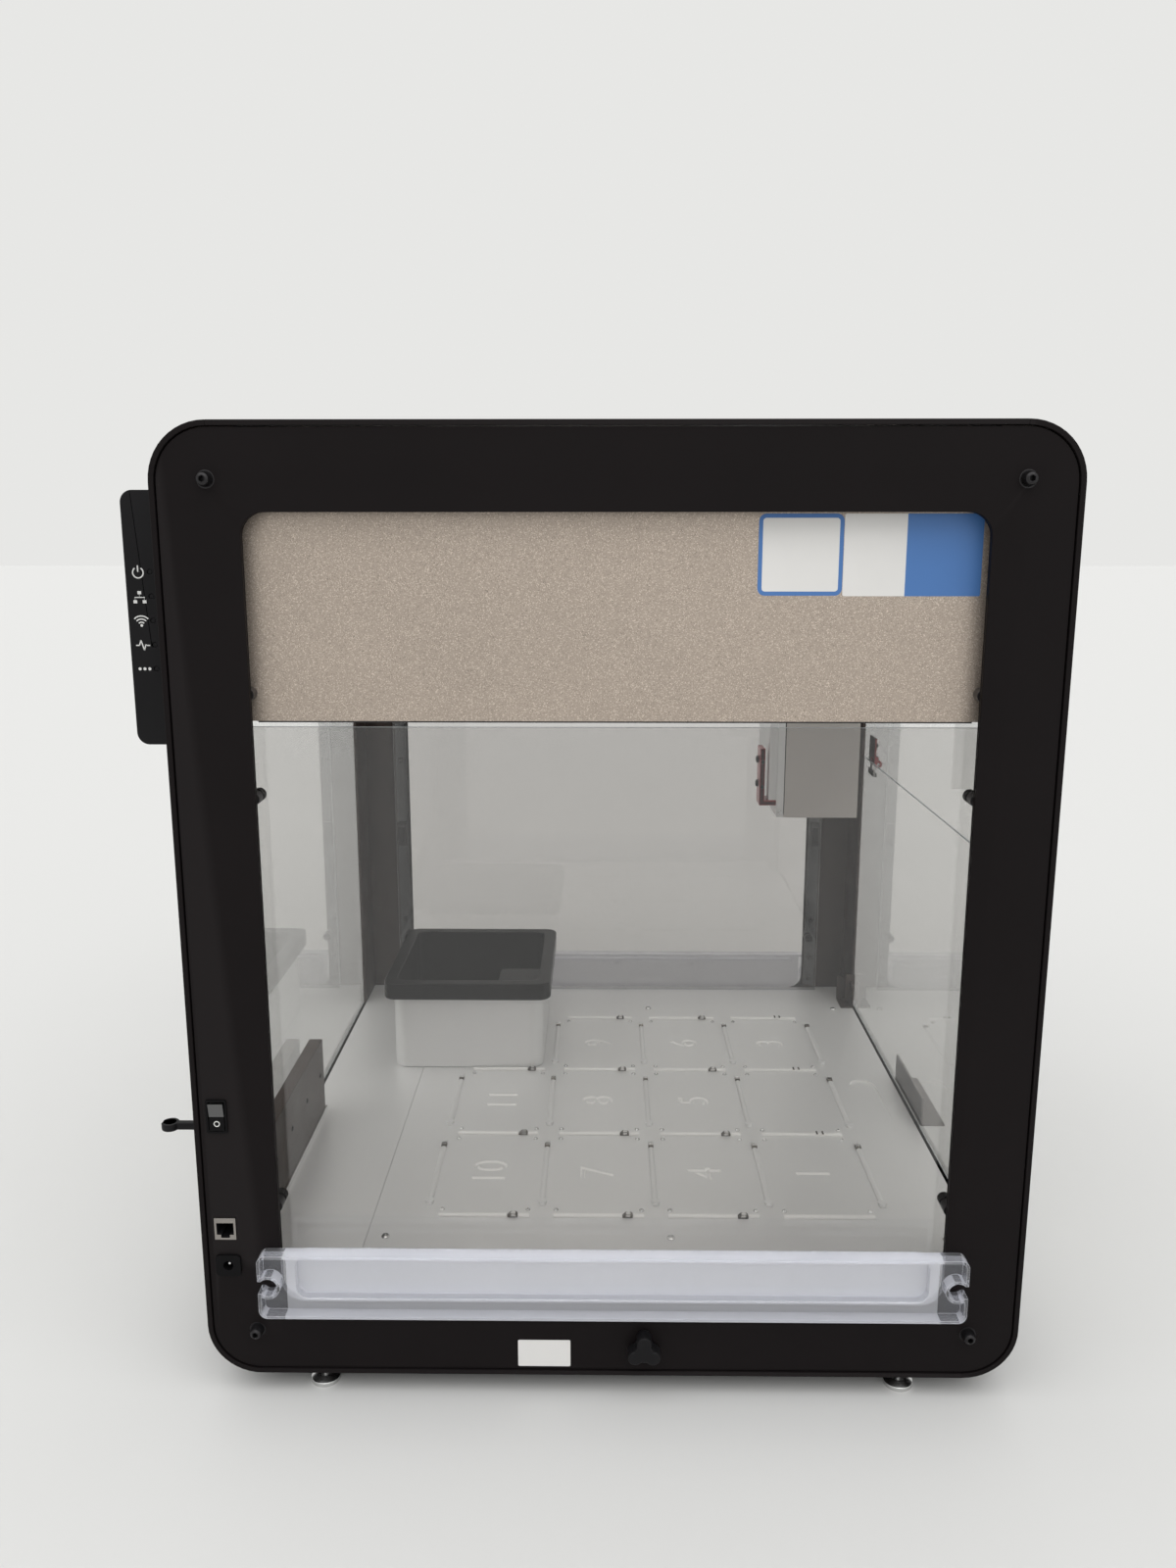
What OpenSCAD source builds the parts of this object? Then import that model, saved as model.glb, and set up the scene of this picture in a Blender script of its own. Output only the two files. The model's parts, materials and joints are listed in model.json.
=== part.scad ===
// Benchtop liquid handling robot. Millimetres, +Z up, +X to the robot's right, the front faces -Y.
// The origin is on the surface that the robot stands on, midway between its sides.

/* [Body] */
// Width over the shell's side edges
body_w = 610; // [590:1:640]
// Depth over the shell's front and back
body_d = 570; // [560:1:600]
// Height of the shell
frame_h = 652; // [645:1:680]
// Height of the shell's underside above the table
foot_h = 16; // [12:0.5:24]
// Outer radius of the shell's long edges
corner_r = 37; // [30:1:42]
// Thickness of the wrapped shell
shell_t = 3.5; // [2.5:0.1:4.5]
// Thickness of a side frame
side_t = 3; // [2:0.1:4]
// How far a side frame sits in from the shell's edge
side_inset = 1; // [0.5:0.1:2]
// Dark groove between a side frame and the shell
side_groove = 0.8; // [0.4:0.1:0.9]

/* [Openings] */
// Distance from the shell's front and back to a side opening
side_rim = 54.5; // [54:0.5:65]
// Lower edge of the openings above the shell's underside
open_low = 58; // [56:1:62]
// Distance from the shell's top to the openings
open_drop = 54.5; // [52:0.5:62]
// Corner radius of the openings
open_r = 15; // [8:1:20]
// Distance from the shell's sides to the front opening
front_rim = 28; // [25:0.5:35]
// Distance from the shell's sides to the rear opening
rear_rim = 25; // [24:0.5:35]
// Depth of the rolled lip round a side opening
lip_depth = 5; // [3:0.5:6]
// Thickness of the rolled lip
lip_t = 1.5; // [1:0.1:2]
// Distance from the shell's sides to the top opening
top_rim_x = 85; // [80:1:105]
// Distance from the shell's front and back to the top opening
top_rim_y = 75; // [70:1:95]

/* [Panels and windows] */
// Thickness of the painted upper panels
panel_t = 1.5; // [1:0.1:2]
// Distance from the shell's top to the lower edge of the upper panels
panel_drop = 186; // [172:1:197]
// How far the side panels sit in from the side frames
trim_recess = 15; // [13:0.5:17]
// Inward fold along a panel's lower edge
panel_fold = 8; // [5:0.5:10]
// Thickness of the clear windows
window_t = 3; // [2:0.1:4]
// Gap between a window and the panel above it
window_gap = 4; // [2:0.5:5]
// How far a side window or panel reaches behind the frame's edge
window_lap = 14.5; // [12:0.5:18]
// Fitting gap round the front and rear panes
pane_gap = 1; // [0.5:0.1:2]
// Diameter of a window thumb screw
thumb_d = 16; // [12:0.5:16]
// Thickness of a thumb screw's head
thumb_t = 7; // [4:0.5:7]
// Diameter of the posts that hold the windows
stand_d = 9; // [8:0.5:10]
// Diameter of the screws that hold the windows and frames
screw_d = 5; // [4:0.1:5]
// Gap between a screw and its hole, on the radius
screw_gap = 0.1; // [0.05:0.01:0.2]
// Diameter of a button-head frame screw
head_d = 9.4; // [8:0.1:11]
// Height of a button head
head_t = 2.4; // [1.5:0.1:3]
// Distance of the frame screws from the shell's front, back and top
screw_in = 35; // [33:0.5:38]
// Height of the lower frame screws above the shell's underside
screw_low = 34.2; // [32:0.1:36]
// Height of the lower window stands above the openings' lower edge
stand_low = 68; // [60:1:90]
// Distance of the upper window stands from the windows' upper edge
stand_drop = 46; // [30:1:60]
// Height of the lower panel stands above the panels' lower edge
stand_rise = 18; // [15:0.5:25]
// Distance of the upper panel stands from the openings' upper edge
stand_top = 3.5; // [3:0.5:10]

/* [Clear side covers] */
// How far a clear cover reaches past the side opening's ends
cover_past = 14.5; // [13:0.5:18]
// Height of a clear cover
cover_h = 48; // [44:1:52]
// How far a cover's lower edge lies below the opening
cover_drop = 8; // [6:0.5:9]
// How far a cover stands out from the side frame
cover_out = 11; // [8:0.5:12]
// How far a cover's pocket reaches into the opening
cover_in = 6; // [4:0.5:8]
// Wall thickness of a cover
cover_t = 2.2; // [1.5:0.1:2.5]
// Distance between a cover's pocket and the opening's ends
pocket_side = 8; // [6:0.5:15]
// Height of a cover's pocket
pocket_h = 36; // [30:1:36]
// Gap between a cover's pocket and the opening's lower edge
pocket_gap = 0.6; // [0.3:0.1:1]
// Inner diameter of the notch in a cover's lug
notch_d = 13; // [10:0.5:14]
// Distance from a notch's centre to the cover's end
notch_in = 7; // [5:0.5:8]
// Diameter of the stud in a notch
cover_stud_d = 8; // [6:0.5:9]

/* [Corner posts] */
// Width of a post along X
post_x = 56; // [50:1:60]
// Gap between a post and the side opening's lip
post_gap = 0.5; // [0.3:0.1:2]
// Thickness of a post's sheet
post_t = 3; // [2:0.1:4]
// Width of the bolted strip along a post
strip_w = 12; // [8:0.5:14]

/* [Deck] */
// Height of the deck's top above the openings' lower edge
deck_rise = 2; // [1:0.5:4]
// Thickness of the deck
deck_t = 4; // [3:0.1:6]
// Gap round the deck
deck_gap = 0.5; // [0.3:0.1:0.9]
// Width of the rear deck plate
rear_plate_w = 91.5; // [88:0.5:98]
// Deck width that the three columns of slots leave free
slot_free_x = 197.5; // [190:0.5:205]
// Deck depth that the four rows of slots leave free
slot_free_y = 194; // [188:0.5:200]
// Distance from the deck's front edge to the middle of the front slots
row_in = 106.3; // [103:0.1:110]
// Distance of the deck screws from the deck's sides
deck_screw_side = 69.5; // [66:0.5:71]
// Distance of the front deck screws from the deck's front edge
deck_screw_front = 23; // [18:1:30]
// Distance between the deck screws from front to back
deck_screw_step = 209.3; // [200:0.1:215]
// Distance of the rear deck screw from the seam
deck_screw_rear = 14.5; // [10:0.5:20]
// Width of a slot guide
guide_w = 4.5; // [3:0.1:5]
// Height of a slot guide
guide_h = 2.4; // [1.5:0.1:3]
// Gap between the guides beside the slots, from front to back
guide_gap_y = 18.9; // [16:0.1:30]
// Gap between the guides in front of the slots, from left to right
guide_gap_x = 28.5; // [22:0.5:38]
// Length of a spring clip
clip_len = 8; // [5:0.5:10]
// Length of the finger pocket
finger_len = 95; // [80:1:110]
// Width of the finger pocket
finger_w = 25; // [20:1:30]
// Distance from the deck's left edge to the rear cover
duct_in = 47.5; // [45:0.5:60]
// Length of the rear cover
duct_w = 229; // [215:1:235]
// Depth of the rear cover
duct_d = 12; // [8:0.5:14]
// Height of the rear cover
duct_h = 70; // [60:1:75]
// Distance from the deck's front edge to the middle of the finger pocket
finger_in = 30.5; // [26:0.5:34]
// Deepest part of the finger pocket
finger_depth = 3; // [1.5:0.1:3.4]

/* [Trash bin] */
// How much wider than a slot the bin's rim is
bin_more_x = 40.4; // [33:0.1:43]
// How much deeper than a slot the bin's rim is
bin_more_y = 75.4; // [68:0.1:77]
// Height of the bin's rim above the deck
bin_h = 92; // [82:1:100]
// Depth of the rim
rim_h = 17; // [12:1:20]
// Overhang of the rim past the housing
rim_over = 8; // [6:0.5:9]
// Wall of the bin
bin_wall = 2.2; // [1.5:0.1:3]
// Wall of the bin's housing
housing_t = 1.5; // [1:0.1:2.5]
// Gap between the bin and its housing
bin_gap = 0.6; // [0.3:0.1:1]
// Distance from the bin's rim to the deck's right edge
bin_side = 62.55; // [60:0.05:64]
// Distance from the bin's rim to the deck's rear edge
bin_rear = 54.05; // [50:0.05:54.5]
// Side of the flat ledge in the bin's corner
ledge = 45; // [35:1:55]

/* [Gantry] */
// Distance from a Y beam's inner face to the side frame
beam_side = 39; // [38:0.5:40]
// Width of a Y beam
beam_w = 20; // [16:1:21]
// Height of a Y beam
beam_h = 40; // [36:1:42]
// Distance from the shell's top to the underside of the Y beams
beam_drop = 108; // [106:1:112]
// Width of a linear rail
rail_w = 9; // [7:0.5:12]
// Height of a linear rail
rail_h = 7; // [5:0.5:8]
// Length of a bearing carriage
carriage_len = 44; // [36:1:50]
// Width of a bearing carriage
carriage_w = 22; // [20:1:24]
// Height of a bearing carriage above its rail's foot
carriage_h = 16; // [12:1:18]
// Distance from the shell's front to the middle of the X beam at rest
arm_in = 169; // [167:0.5:171]
// Width of the X beam along Y
arm_w = 36; // [32:1:38]
// Height of the X beam
arm_h = 40; // [36:1:42]
// Wall of the X beam
arm_wall = 3; // [2:0.5:4]
// Gap between the X beam's ends and the Y beams
arm_gap = 16; // [15:0.5:20]
// Thickness of the gantry's end plates
end_t = 4; // [3:0.5:4]
// Radius of a belt pulley
pulley_r = 6.4; // [5:0.1:7]
// Width of a belt
belt_w = 6; // [5:0.5:6]
// Thickness of a belt
belt_t = 1.2; // [0.8:0.1:1.5]
// Gap between a belt and its pulley
belt_gap = 0.15; // [0.1:0.01:0.3]
// Diameter of the cross shaft
shaft_d = 8; // [6:0.5:8]
// Running clearance of shafts in their bores, on the radius
run_gap = 0.05; // [0.02:0.01:0.09]
// Gap between parts that slide past each other
slide_gap = 0.3; // [0.2:0.05:0.5]
// Side of a belt motor
motor_w = 42; // [38:1:42]
// Length of a belt motor
motor_len = 34; // [28:1:40]
// Side of the X motor
x_motor_w = 35; // [28:1:36]
// Distance of the lamp bar's ends from the Y beams
light_in = 42; // [30:1:60]
// Width of the lamp bar
light_w = 12; // [8:0.5:14]
// Height of the lamp bar
light_h = 8; // [5:0.5:10]

/* [Head] */
// Left face of the head at rest
head_x0 = -5; // [-10:1:0]
// Width of the head
head_w = 130; // [125:1:135]
// Depth of the head's side plates
head_depth = 72; // [69:1:76]
// Gap between the head's back plate and the X beam
head_gap = 15; // [14:0.5:16]
// Distance from the shell's top to the head's lower edge
head_drop = 315; // [307:1:322]
// Distance from the shell's top to the head's upper edge
head_rise = 74; // [72:1:78]
// Thickness of the head's side plates
cheek_t = 2; // [1.5:0.1:3]
// Thickness of the head's back plate
back_t = 6; // [5:0.5:7]
// Distance between the two Z stages
stage_pitch = 60; // [58:1:62]
// Width of a Z stage plate
stage_w = 50; // [44:1:54]
// Height of a Z stage plate
stage_h = 180; // [160:1:182]
// Thickness of a Z stage plate
stage_t = 6; // [4:0.5:7]
// Distance between mounting holes across a stage
hole_x = 30; // [24:1:36]
// Distance between mounting holes up a stage
hole_z = 90; // [80:1:92]
// Radius of a mounting hole
hole_r = 1.6; // [1.3:0.1:2.2]
// Radius of a lead screw
lead_r = 3; // [2.5:0.1:3.5]
// Distance from a stage's centre to its lead screw
lead_off = 20; // [19:0.5:21]
// Length of a Z motor
z_motor_len = 38; // [30:1:42]
// Side of a plunger motor
plunger_w = 28; // [24:1:30]

/* [Door] */
// Height of the door's upper edge above the openings' lower edge
door_h = 289.5; // [282:0.5:297]
// Distance of a hinge from the front opening's side
hinge_in = 63; // [52:1:87]
// Length of a hinge
hinge_w = 26; // [22:1:32]
// Radius of a hinge knuckle
knuckle_r = 4; // [3.5:0.1:4.4]
// Radius of a hinge pin
pin_r = 1.5; // [1.2:0.1:1.8]
// Width of the door's handle
handle_w = 96; // [80:1:110]
// Height of the door's handle
handle_h = 27; // [22:1:32]
// Depth of the handle's finger lip
handle_lip = 22; // [18:1:26]

/* [Rear and controls] */
// Width of the status hub
hub_w = 110; // [90:1:130]
// Depth of the status hub
hub_d = 30; // [26:1:34]
// Height of the status hub
hub_h = 164; // [150:1:170]
// Distance from the shell's top to the hub
hub_drop = 40; // [32:1:50]
// Distance from the shell's left side to the hub
hub_in = 30; // [26:1:40]
// Edge radius of the hub
hub_r = 8; // [5:0.5:10]
// Distance between the hub's lamps
lamp_pitch = 15.6; // [14:0.1:17]
// Distance from the hub's top to its first lamp
lamp_drop = 51.4; // [45:0.1:55]
// Distance from the shell's back to the lamps
lamp_back = 14; // [10:0.5:18]
// Radius of the hub's lamps
lamp_r = 1.6; // [1:0.1:2]
// Distance from the shell's back to the middle of the switch
switch_in = 16.1; // [15:0.1:17]
// Height of the switch above the shell's underside
switch_up = 197; // [190:1:205]
// Width of the switch
switch_w = 14.3; // [13:0.1:15]
// Height of the switch
switch_h = 24.4; // [22:0.1:27]
// Distance from the shell's back to the middle of the network socket
net_in = 16.7; // [16:0.1:18]
// Height of the network socket above the shell's underside
net_up = 112.5; // [108:0.5:118]
// Side of the network socket
net_w = 15; // [14:0.1:16]
// Height of the network socket
net_h = 16.4; // [15:0.1:18]
// Distance from the shell's back to the middle of the power socket
power_in = 17.7; // [17:0.1:18]
// Height of the power socket above the shell's underside
power_up = 85; // [80:1:90]
// Radius of the tri-lobe knob
knob_r = 12.4; // [10:0.1:14]
// Distance of the knob from the middle of the side
knob_y = -22.8; // [-30:0.1:-15]
// Height of the knob above the shell's underside
knob_up = 24.3; // [20:0.1:28]
// Travel of the front button
press = 1.5; // [1:0.1:2]
// Radius of the front button
button_r = 9; // [7:0.5:12]
// Distance from the shell's top to the button
button_drop = 122; // [110:1:150]
// Radius of a levelling foot
foot_r = 10.5; // [9:0.5:12]
// Distance from the shell's sides to a foot
foot_side = 16; // [14:0.5:30]
// Distance from the shell's front and back to a foot
foot_end = 78; // [60:1:90]

/* [Hidden] */
$fn = 48;

// Colours
black = [0.07, 0.065, 0.065];
champagne = [0.66, 0.60, 0.53];
clear = [0.85, 0.88, 0.92, 0.35];
alloy = [0.72, 0.73, 0.75];
dark_steel = [0.2, 0.17, 0.15];
grey = [0.68, 0.68, 0.68];
steel = [0.8, 0.8, 0.8];
red = [0.55, 0.12, 0.13];

// Shell
z0 = foot_h;
z_mid = z0 + frame_h / 2;
z_top = z0 + frame_h;
side_face = body_w / 2 - side_inset;
side_back = side_face - side_t;
end_face = body_d / 2;
end_back = end_face - shell_t;
flat_y = end_face - corner_r;
open_z0 = z0 + open_low;
open_z1 = z_top - open_drop;
side_open_w = body_d - 2 * side_rim;
front_open_w = body_w - 2 * front_rim;
rear_open_w = body_w - 2 * rear_rim;
top_open_x = body_w - 2 * top_rim_x;
top_open_y = body_d - 2 * top_rim_y;
shell_r = corner_r - shell_t;
foot_stud_r = 3;
foot_stud_up = 16.5;
foot_x = body_w / 2 - foot_side;
foot_y = body_d / 2 - foot_end;

// Windows and panels
panel_face = side_face - trim_recess;
panel_z0 = z_top - panel_drop;
panel_z1 = z_top - shell_t - 12;
window_z1 = panel_z0 - window_gap;
window_half = side_open_w / 2 + window_lap;
stand_y = side_open_w / 2 + 3.5;
frame_screw_y = end_face - screw_in;
window_stands = [open_z0 + stand_low, window_z1 - stand_drop];
panel_stands = [panel_z0 + stand_rise, open_z1 - stand_top];
door_z = open_z0 + door_h;

// Clear covers
cover_w = side_open_w + 2 * cover_past;
pocket_w = side_open_w - 2 * pocket_side;
cover_stud_r = 3 + screw_gap;
stud_y = cover_w / 2 - notch_in;
stud_z = open_z0 - cover_drop + cover_h / 2;

// Posts, deck and slots
post_out_x = side_back;
post_in_x = post_out_x - post_x;
leg_y = side_open_w / 2 + lip_t + post_gap;
deck_top = open_z0 + deck_rise;
deck_low = deck_top - deck_t;
deck_x = post_out_x - post_t - deck_gap;
deck_y = end_back - post_t - deck_gap;
deck_seam = deck_y - rear_plate_w;
row_y = row_in - deck_y;
slot_x = (2 * deck_x - slot_free_x) / 3;
slot_y = (2 * deck_y - slot_free_y) / 4;
bin_x = slot_x + bin_more_x;
bin_y = slot_y + bin_more_y;
guide_x = slot_x - guide_gap_x;
guide_y = slot_y - guide_gap_y;
finger_y = finger_in - deck_y;
bin_cx = deck_x - bin_side - bin_x / 2;
bin_cy = deck_y - bin_rear - bin_y / 2;
rows = [0:3];
columns = [-1:1];
strip_t = 2;
strip_up = 4;
deck_screw_r = 1.6;
seam_gap = 0.4;

// Gantry
beam_in = side_back - beam_side;
beam_z0 = z_top - beam_drop;
beam_z1 = beam_z0 + beam_h;
beam_end = end_back - post_t;
rail_cx = beam_in + beam_w / 2;
rail_top = beam_z1 + rail_h;
belt_z = beam_z0 + beam_h / 2;
belt_x = beam_in - 3 - belt_w / 2;
belt_y = beam_end - 22.5;
belt_in = pulley_r + belt_gap;
end_z = beam_z1 + rail_h + carriage_h - 4;
arm_y = arm_in - end_face;
arm_reach = beam_in - arm_gap;
arm_z0 = beam_z0 - 4;
arm_z1 = arm_z0 + arm_h;
arm_front = arm_y - arm_w / 2;
x_pulley_x = arm_reach - 31;
x_belt_z = arm_z1 + 2;
cross_z = end_z - 7;
cross_s = 16;

// Head
head_x1 = head_x0 + head_w;
head_cx = (head_x0 + head_x1) / 2;
head_z0 = z_top - head_drop;
head_z1 = z_top - head_rise;
head_back = arm_front - head_gap;
head_front = head_back - head_depth;
back_face = head_back - back_t;
z_rail_t = 6;
stage_back = back_face - 17;
stage_face = stage_back - stage_t;
stage_z1 = head_z1 - 19;
stage_z0 = stage_z1 - stage_h;
lead_y = back_face - 11;
block_h = 60;
block_z0 = stage_z1 - block_h - 15;
ledge_h = 6;
bracket_z = head_z0 + 10;
plunger_z = stage_z1 - plunger_w - 26;
plunger_y = stage_face - plunger_w / 2;
plunger_screw_r = 2;

// Door
pane_in = end_back;
pane_out = pane_in + window_t;
hinge_y = -(pane_out + knuckle_r + 0.6);
hinge_x = front_open_w / 2 - hinge_in;
hinge_z = door_z;
leaf_t = 2;
leaf_h = 28;

// Rear and controls
hub_x0 = hub_in - body_w / 2;
hub_z1 = z_top - hub_drop;
hub_z0 = hub_z1 - hub_h;
switch_y = end_face - switch_in;
switch_z = z0 + switch_up;
net_y = end_face - net_in;
net_z = z0 + net_up;
power_y = end_face - power_in;
power_z = z0 + power_up;
power_w = 17.5;
knob_z = z0 + knob_up;
button_z = z_top - button_drop;

// Shared shapes
module rounded(w, h, r) {
    square([w - 2 * r, h], center = true);
    square([w, h - 2 * r], center = true);
    for (x = [-1, 1], y = [-1, 1])
        translate([x * (w / 2 - r), y * (h / 2 - r)]) circle(r);
}

module block(lo, hi) {
    translate(lo) cube(hi - lo);
}

// A (y, z) profile drawn out along X from x0 to x1
module along_x(x0, x1) {
    translate([x0, 0, 0]) rotate([90, 0, 90]) linear_extrude(x1 - x0) children();
}

// An (x, z) profile drawn out along Y from y0 to y1
module along_y(y0, y1) {
    translate([0, y1, 0]) rotate([90, 0, 0]) linear_extrude(y1 - y0) children();
}

// A (x, y) profile drawn up from z0 to z1
module upward(z0, z1) {
    translate([0, 0, z0]) linear_extrude(z1 - z0) children();
}

module rod_x(x0, x1, r, y, z) {
    translate([x0, y, z]) rotate([0, 90, 0]) cylinder(r = r, h = x1 - x0);
}

module rod_y(y0, y1, r, x, z) {
    translate([x, y1, z]) rotate([90, 0, 0]) cylinder(r = r, h = y1 - y0);
}

module rod_z(z0, z1, r, x, y) {
    translate([x, y, z0]) cylinder(r = r, h = z1 - z0);
}

module both_sides() {
    children();
    mirror([1, 0, 0]) children();
}

module both_ends() {
    children();
    mirror([0, 1, 0]) children();
}

// Shell: one rounded band, cut into four pieces
module band() {
    along_x(-body_w / 2, body_w / 2) translate([0, z_mid]) difference() {
        rounded(body_d, frame_h, corner_r);
        rounded(body_d - 2 * shell_t, frame_h - 2 * shell_t, shell_r);
    }
}

// The room inside the shell, for trimming what stands in its corners
module inside() {
    along_x(-body_w / 2, body_w / 2) translate([0, z_mid])
        rounded(body_d - 2 * shell_t, frame_h - 2 * shell_t, shell_r);
}

module end_slice(open_w) {
    difference() {
        intersection() {
            band();
            block([-body_w, -body_d, 0], [body_w, -flat_y, 2 * frame_h]);
        }
        along_y(-body_d, -flat_y - 1) translate([0, (open_z0 + open_z1) / 2])
            rounded(open_w, open_z1 - open_z0, open_r);
    }
}

module front_frame() {
    color(black) end_slice(front_open_w);
}

module rear_frame() {
    color(black) mirror([0, 1, 0]) end_slice(rear_open_w);
}

module top_cover() {
    color(black) difference() {
        block([-body_w / 2, -flat_y, z_top - shell_t], [body_w / 2, flat_y, z_top]);
        upward(z_top - 2 * shell_t, z_top + shell_t) rounded(top_open_x, top_open_y, open_r);
    }
}

// The base carries the deck on two folded channels that are welded to it
module base_pan() {
    channel_x = foot_x - 89;
    channel_w = 30;
    channel_t = 2;
    color(black) difference() {
        union() {
            block([-body_w / 2, -flat_y, z0], [body_w / 2, flat_y, z0 + shell_t]);
            for (x = [-channel_x, 0, channel_x]) difference() {
                block([x - channel_w / 2, -flat_y, z0], [x + channel_w / 2, flat_y, deck_low]);
                block([x - channel_w / 2 + channel_t, -body_d, z0 + shell_t],
                      [x + channel_w / 2 - channel_t, body_d, deck_low - channel_t]);
            }
        }
        for (x = [-foot_x, foot_x], y = [-foot_y, foot_y])
            rod_z(0, z0 + 2 * shell_t, foot_stud_r + screw_gap, x, y);
    }
}

module side_plate() {
    plate_d = body_d - 2 * (shell_t + side_groove);
    plate_h = frame_h - 2 * (shell_t + side_groove);
    difference() {
        along_x(side_back, side_face) difference() {
            translate([0, z_mid]) rounded(plate_d, plate_h, shell_r - side_groove);
            side_opening(0);
        }
        for (y = [-1, 1], z = frame_screw_heights())
            rod_x(side_back - 1, side_face + 1, screw_d / 2 + screw_gap, y * frame_screw_y, z);
        for (y = [-1, 1]) rod_x(side_back - 1, side_face + 1, cover_stud_r, y * stud_y, stud_z);
    }
}

function frame_screw_heights() = [z0 + screw_low, z_top - screw_in];

module side_opening(grow) {
    translate([0, (open_z0 + open_z1) / 2])
        rounded(side_open_w + 2 * grow, open_z1 - open_z0 + 2 * grow, open_r + grow);
}

// Cut-outs for the switch and the two inlets, through the left frame and the post behind it
module inlet_cuts() {
    block([-body_w, switch_y - switch_w / 2 + 1.5, switch_z - switch_h / 2 + 1.5],
          [-side_back + 30, switch_y + switch_w / 2 - 1.5, switch_z + switch_h / 2 - 1.5]);
    block([-body_w, net_y - net_w / 2 - 0.2, net_z - net_h / 2 - 0.2],
          [-side_back + 30, net_y + net_w / 2 + 0.2, net_z + net_h / 2 + 0.2]);
    rod_x(-body_w, -side_back + 30, 6.2, power_y, power_z);
}

module left_side_frame() {
    color(black) difference() {
        mirror([1, 0, 0]) side_plate();
        inlet_cuts();
        rod_x(-side_face - 1, -side_back + 1, 3 + run_gap, knob_y, knob_z);
    }
}

module right_side_frame() {
    color(black) side_plate();
}

// Rolled lip round each side opening
module opening_lips() {
    color(black) both_sides() along_x(side_face - lip_depth, side_back) difference() {
        side_opening(lip_t);
        side_opening(0);
    }
}

// A sheet that fits an end opening between two heights, and follows its corners
module end_sheet(open_w, z_low, z_high, t) {
    intersection() {
        along_y(-pane_in - t, -pane_in) translate([0, (open_z0 + open_z1) / 2])
            rounded(open_w - 2 * pane_gap, open_z1 - open_z0 - 2 * pane_gap, open_r - pane_gap);
        block([-body_w, -body_d, z_low], [body_w, 0, z_high]);
    }
}

// Upper panels: painted sheet with a fold along the lower edge
module end_panel(open_w) {
    end_sheet(open_w, panel_z0, z_top, panel_t);
    block([-post_in_x + pane_gap, -pane_in, panel_z0],
          [post_in_x - pane_gap, -pane_in + panel_fold, panel_z0 + panel_t]);
}

module front_panel() {
    color(champagne) difference() {
        end_panel(front_open_w);
        rod_y(-body_d, 0, button_r + 0.4, 0, button_z);
    }
}

module rear_panel() {
    color(champagne) mirror([0, 1, 0]) end_panel(rear_open_w);
}

module side_panels() {
    color(champagne) both_sides() difference() {
        union() {
            block([panel_face - panel_t, -window_half, panel_z0], [panel_face, window_half, panel_z1]);
            block([panel_face - panel_fold, -window_half, panel_z0],
                  [panel_face - panel_t, window_half, panel_z0 + panel_t]);
        }
        stand_holes(panel_stands);
    }
}

module stand_holes(heights) {
    for (y = [-stand_y, stand_y], z = heights)
        rod_x(panel_face - 2 * window_t, panel_face + 1, screw_d / 2 + screw_gap, y, z);
}

module side_windows() {
    color(clear) both_sides() difference() {
        block([panel_face - window_t, -window_half, deck_top + 0.3], [panel_face, window_half, window_z1]);
        stand_holes(window_stands);
    }
}

module front_window() {
    color(clear) end_sheet(front_open_w, door_z + pane_gap, window_z1, window_t);
}

module rear_window() {
    color(clear) mirror([0, 1, 0]) end_sheet(rear_open_w, 0, window_z1, window_t);
}

module top_window() {
    lap = 8;
    color(clear) upward(z_top - shell_t - window_t, z_top - shell_t)
        rounded(top_open_x + 2 * lap, top_open_y + 2 * lap, open_r + lap);
}

// Clear cover: a moulded tray whose lugs notch over a stud at each end
module cover_outline(inset) {
    difference() {
        rounded(cover_w - 2 * inset, cover_h - 2 * inset, 6 - inset);
        for (s = [-1, 1]) {
            translate([s * stud_y, 0]) circle(notch_d / 2 + inset);
            translate([s * (stud_y + cover_w / 2), 0])
                square([cover_w, notch_d * 0.7 + 2 * inset], center = true);
        }
    }
}

module pocket(inset) {
    pocket_r = 10;
    translate([0, open_z0 + pocket_gap + pocket_h / 2 - stud_z])
        rounded(pocket_w - 2 * inset, pocket_h - 2 * inset, pocket_r - inset);
}

module side_cover() {
    translate([0, 0, stud_z]) {
        along_x(side_face, side_face + cover_out) difference() {
            cover_outline(0);
            cover_outline(cover_t);
        }
        along_x(side_face, side_face + cover_t) difference() {
            cover_outline(0);
            pocket(0);
        }
        along_x(side_face - cover_in, side_face + cover_t) difference() {
            pocket(0);
            pocket(cover_t);
        }
        along_x(side_face - cover_in, side_face - cover_in + cover_t) pocket(0);
    }
}

module side_covers() {
    color(clear) both_sides() side_cover();
}

module button_screw(y, z, x1) {
    rod_x(x1 - side_t - 4, x1, screw_d / 2, y, z);
    rod_x(x1, x1 + head_t, head_d / 2, y, z);
}

// Frame screws at the corners, and the studs that hold the clear covers
module frame_screws() {
    color(black) both_sides() {
        for (y = [-1, 1], z = frame_screw_heights()) button_screw(y * frame_screw_y, z, side_face);
        for (y = [-stud_y, stud_y]) {
            rod_x(side_back - 1, side_face, 3, y, stud_z);
            rod_x(side_face, side_face + cover_out - 4, cover_stud_d / 2, y, stud_z);
        }
    }
}

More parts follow.
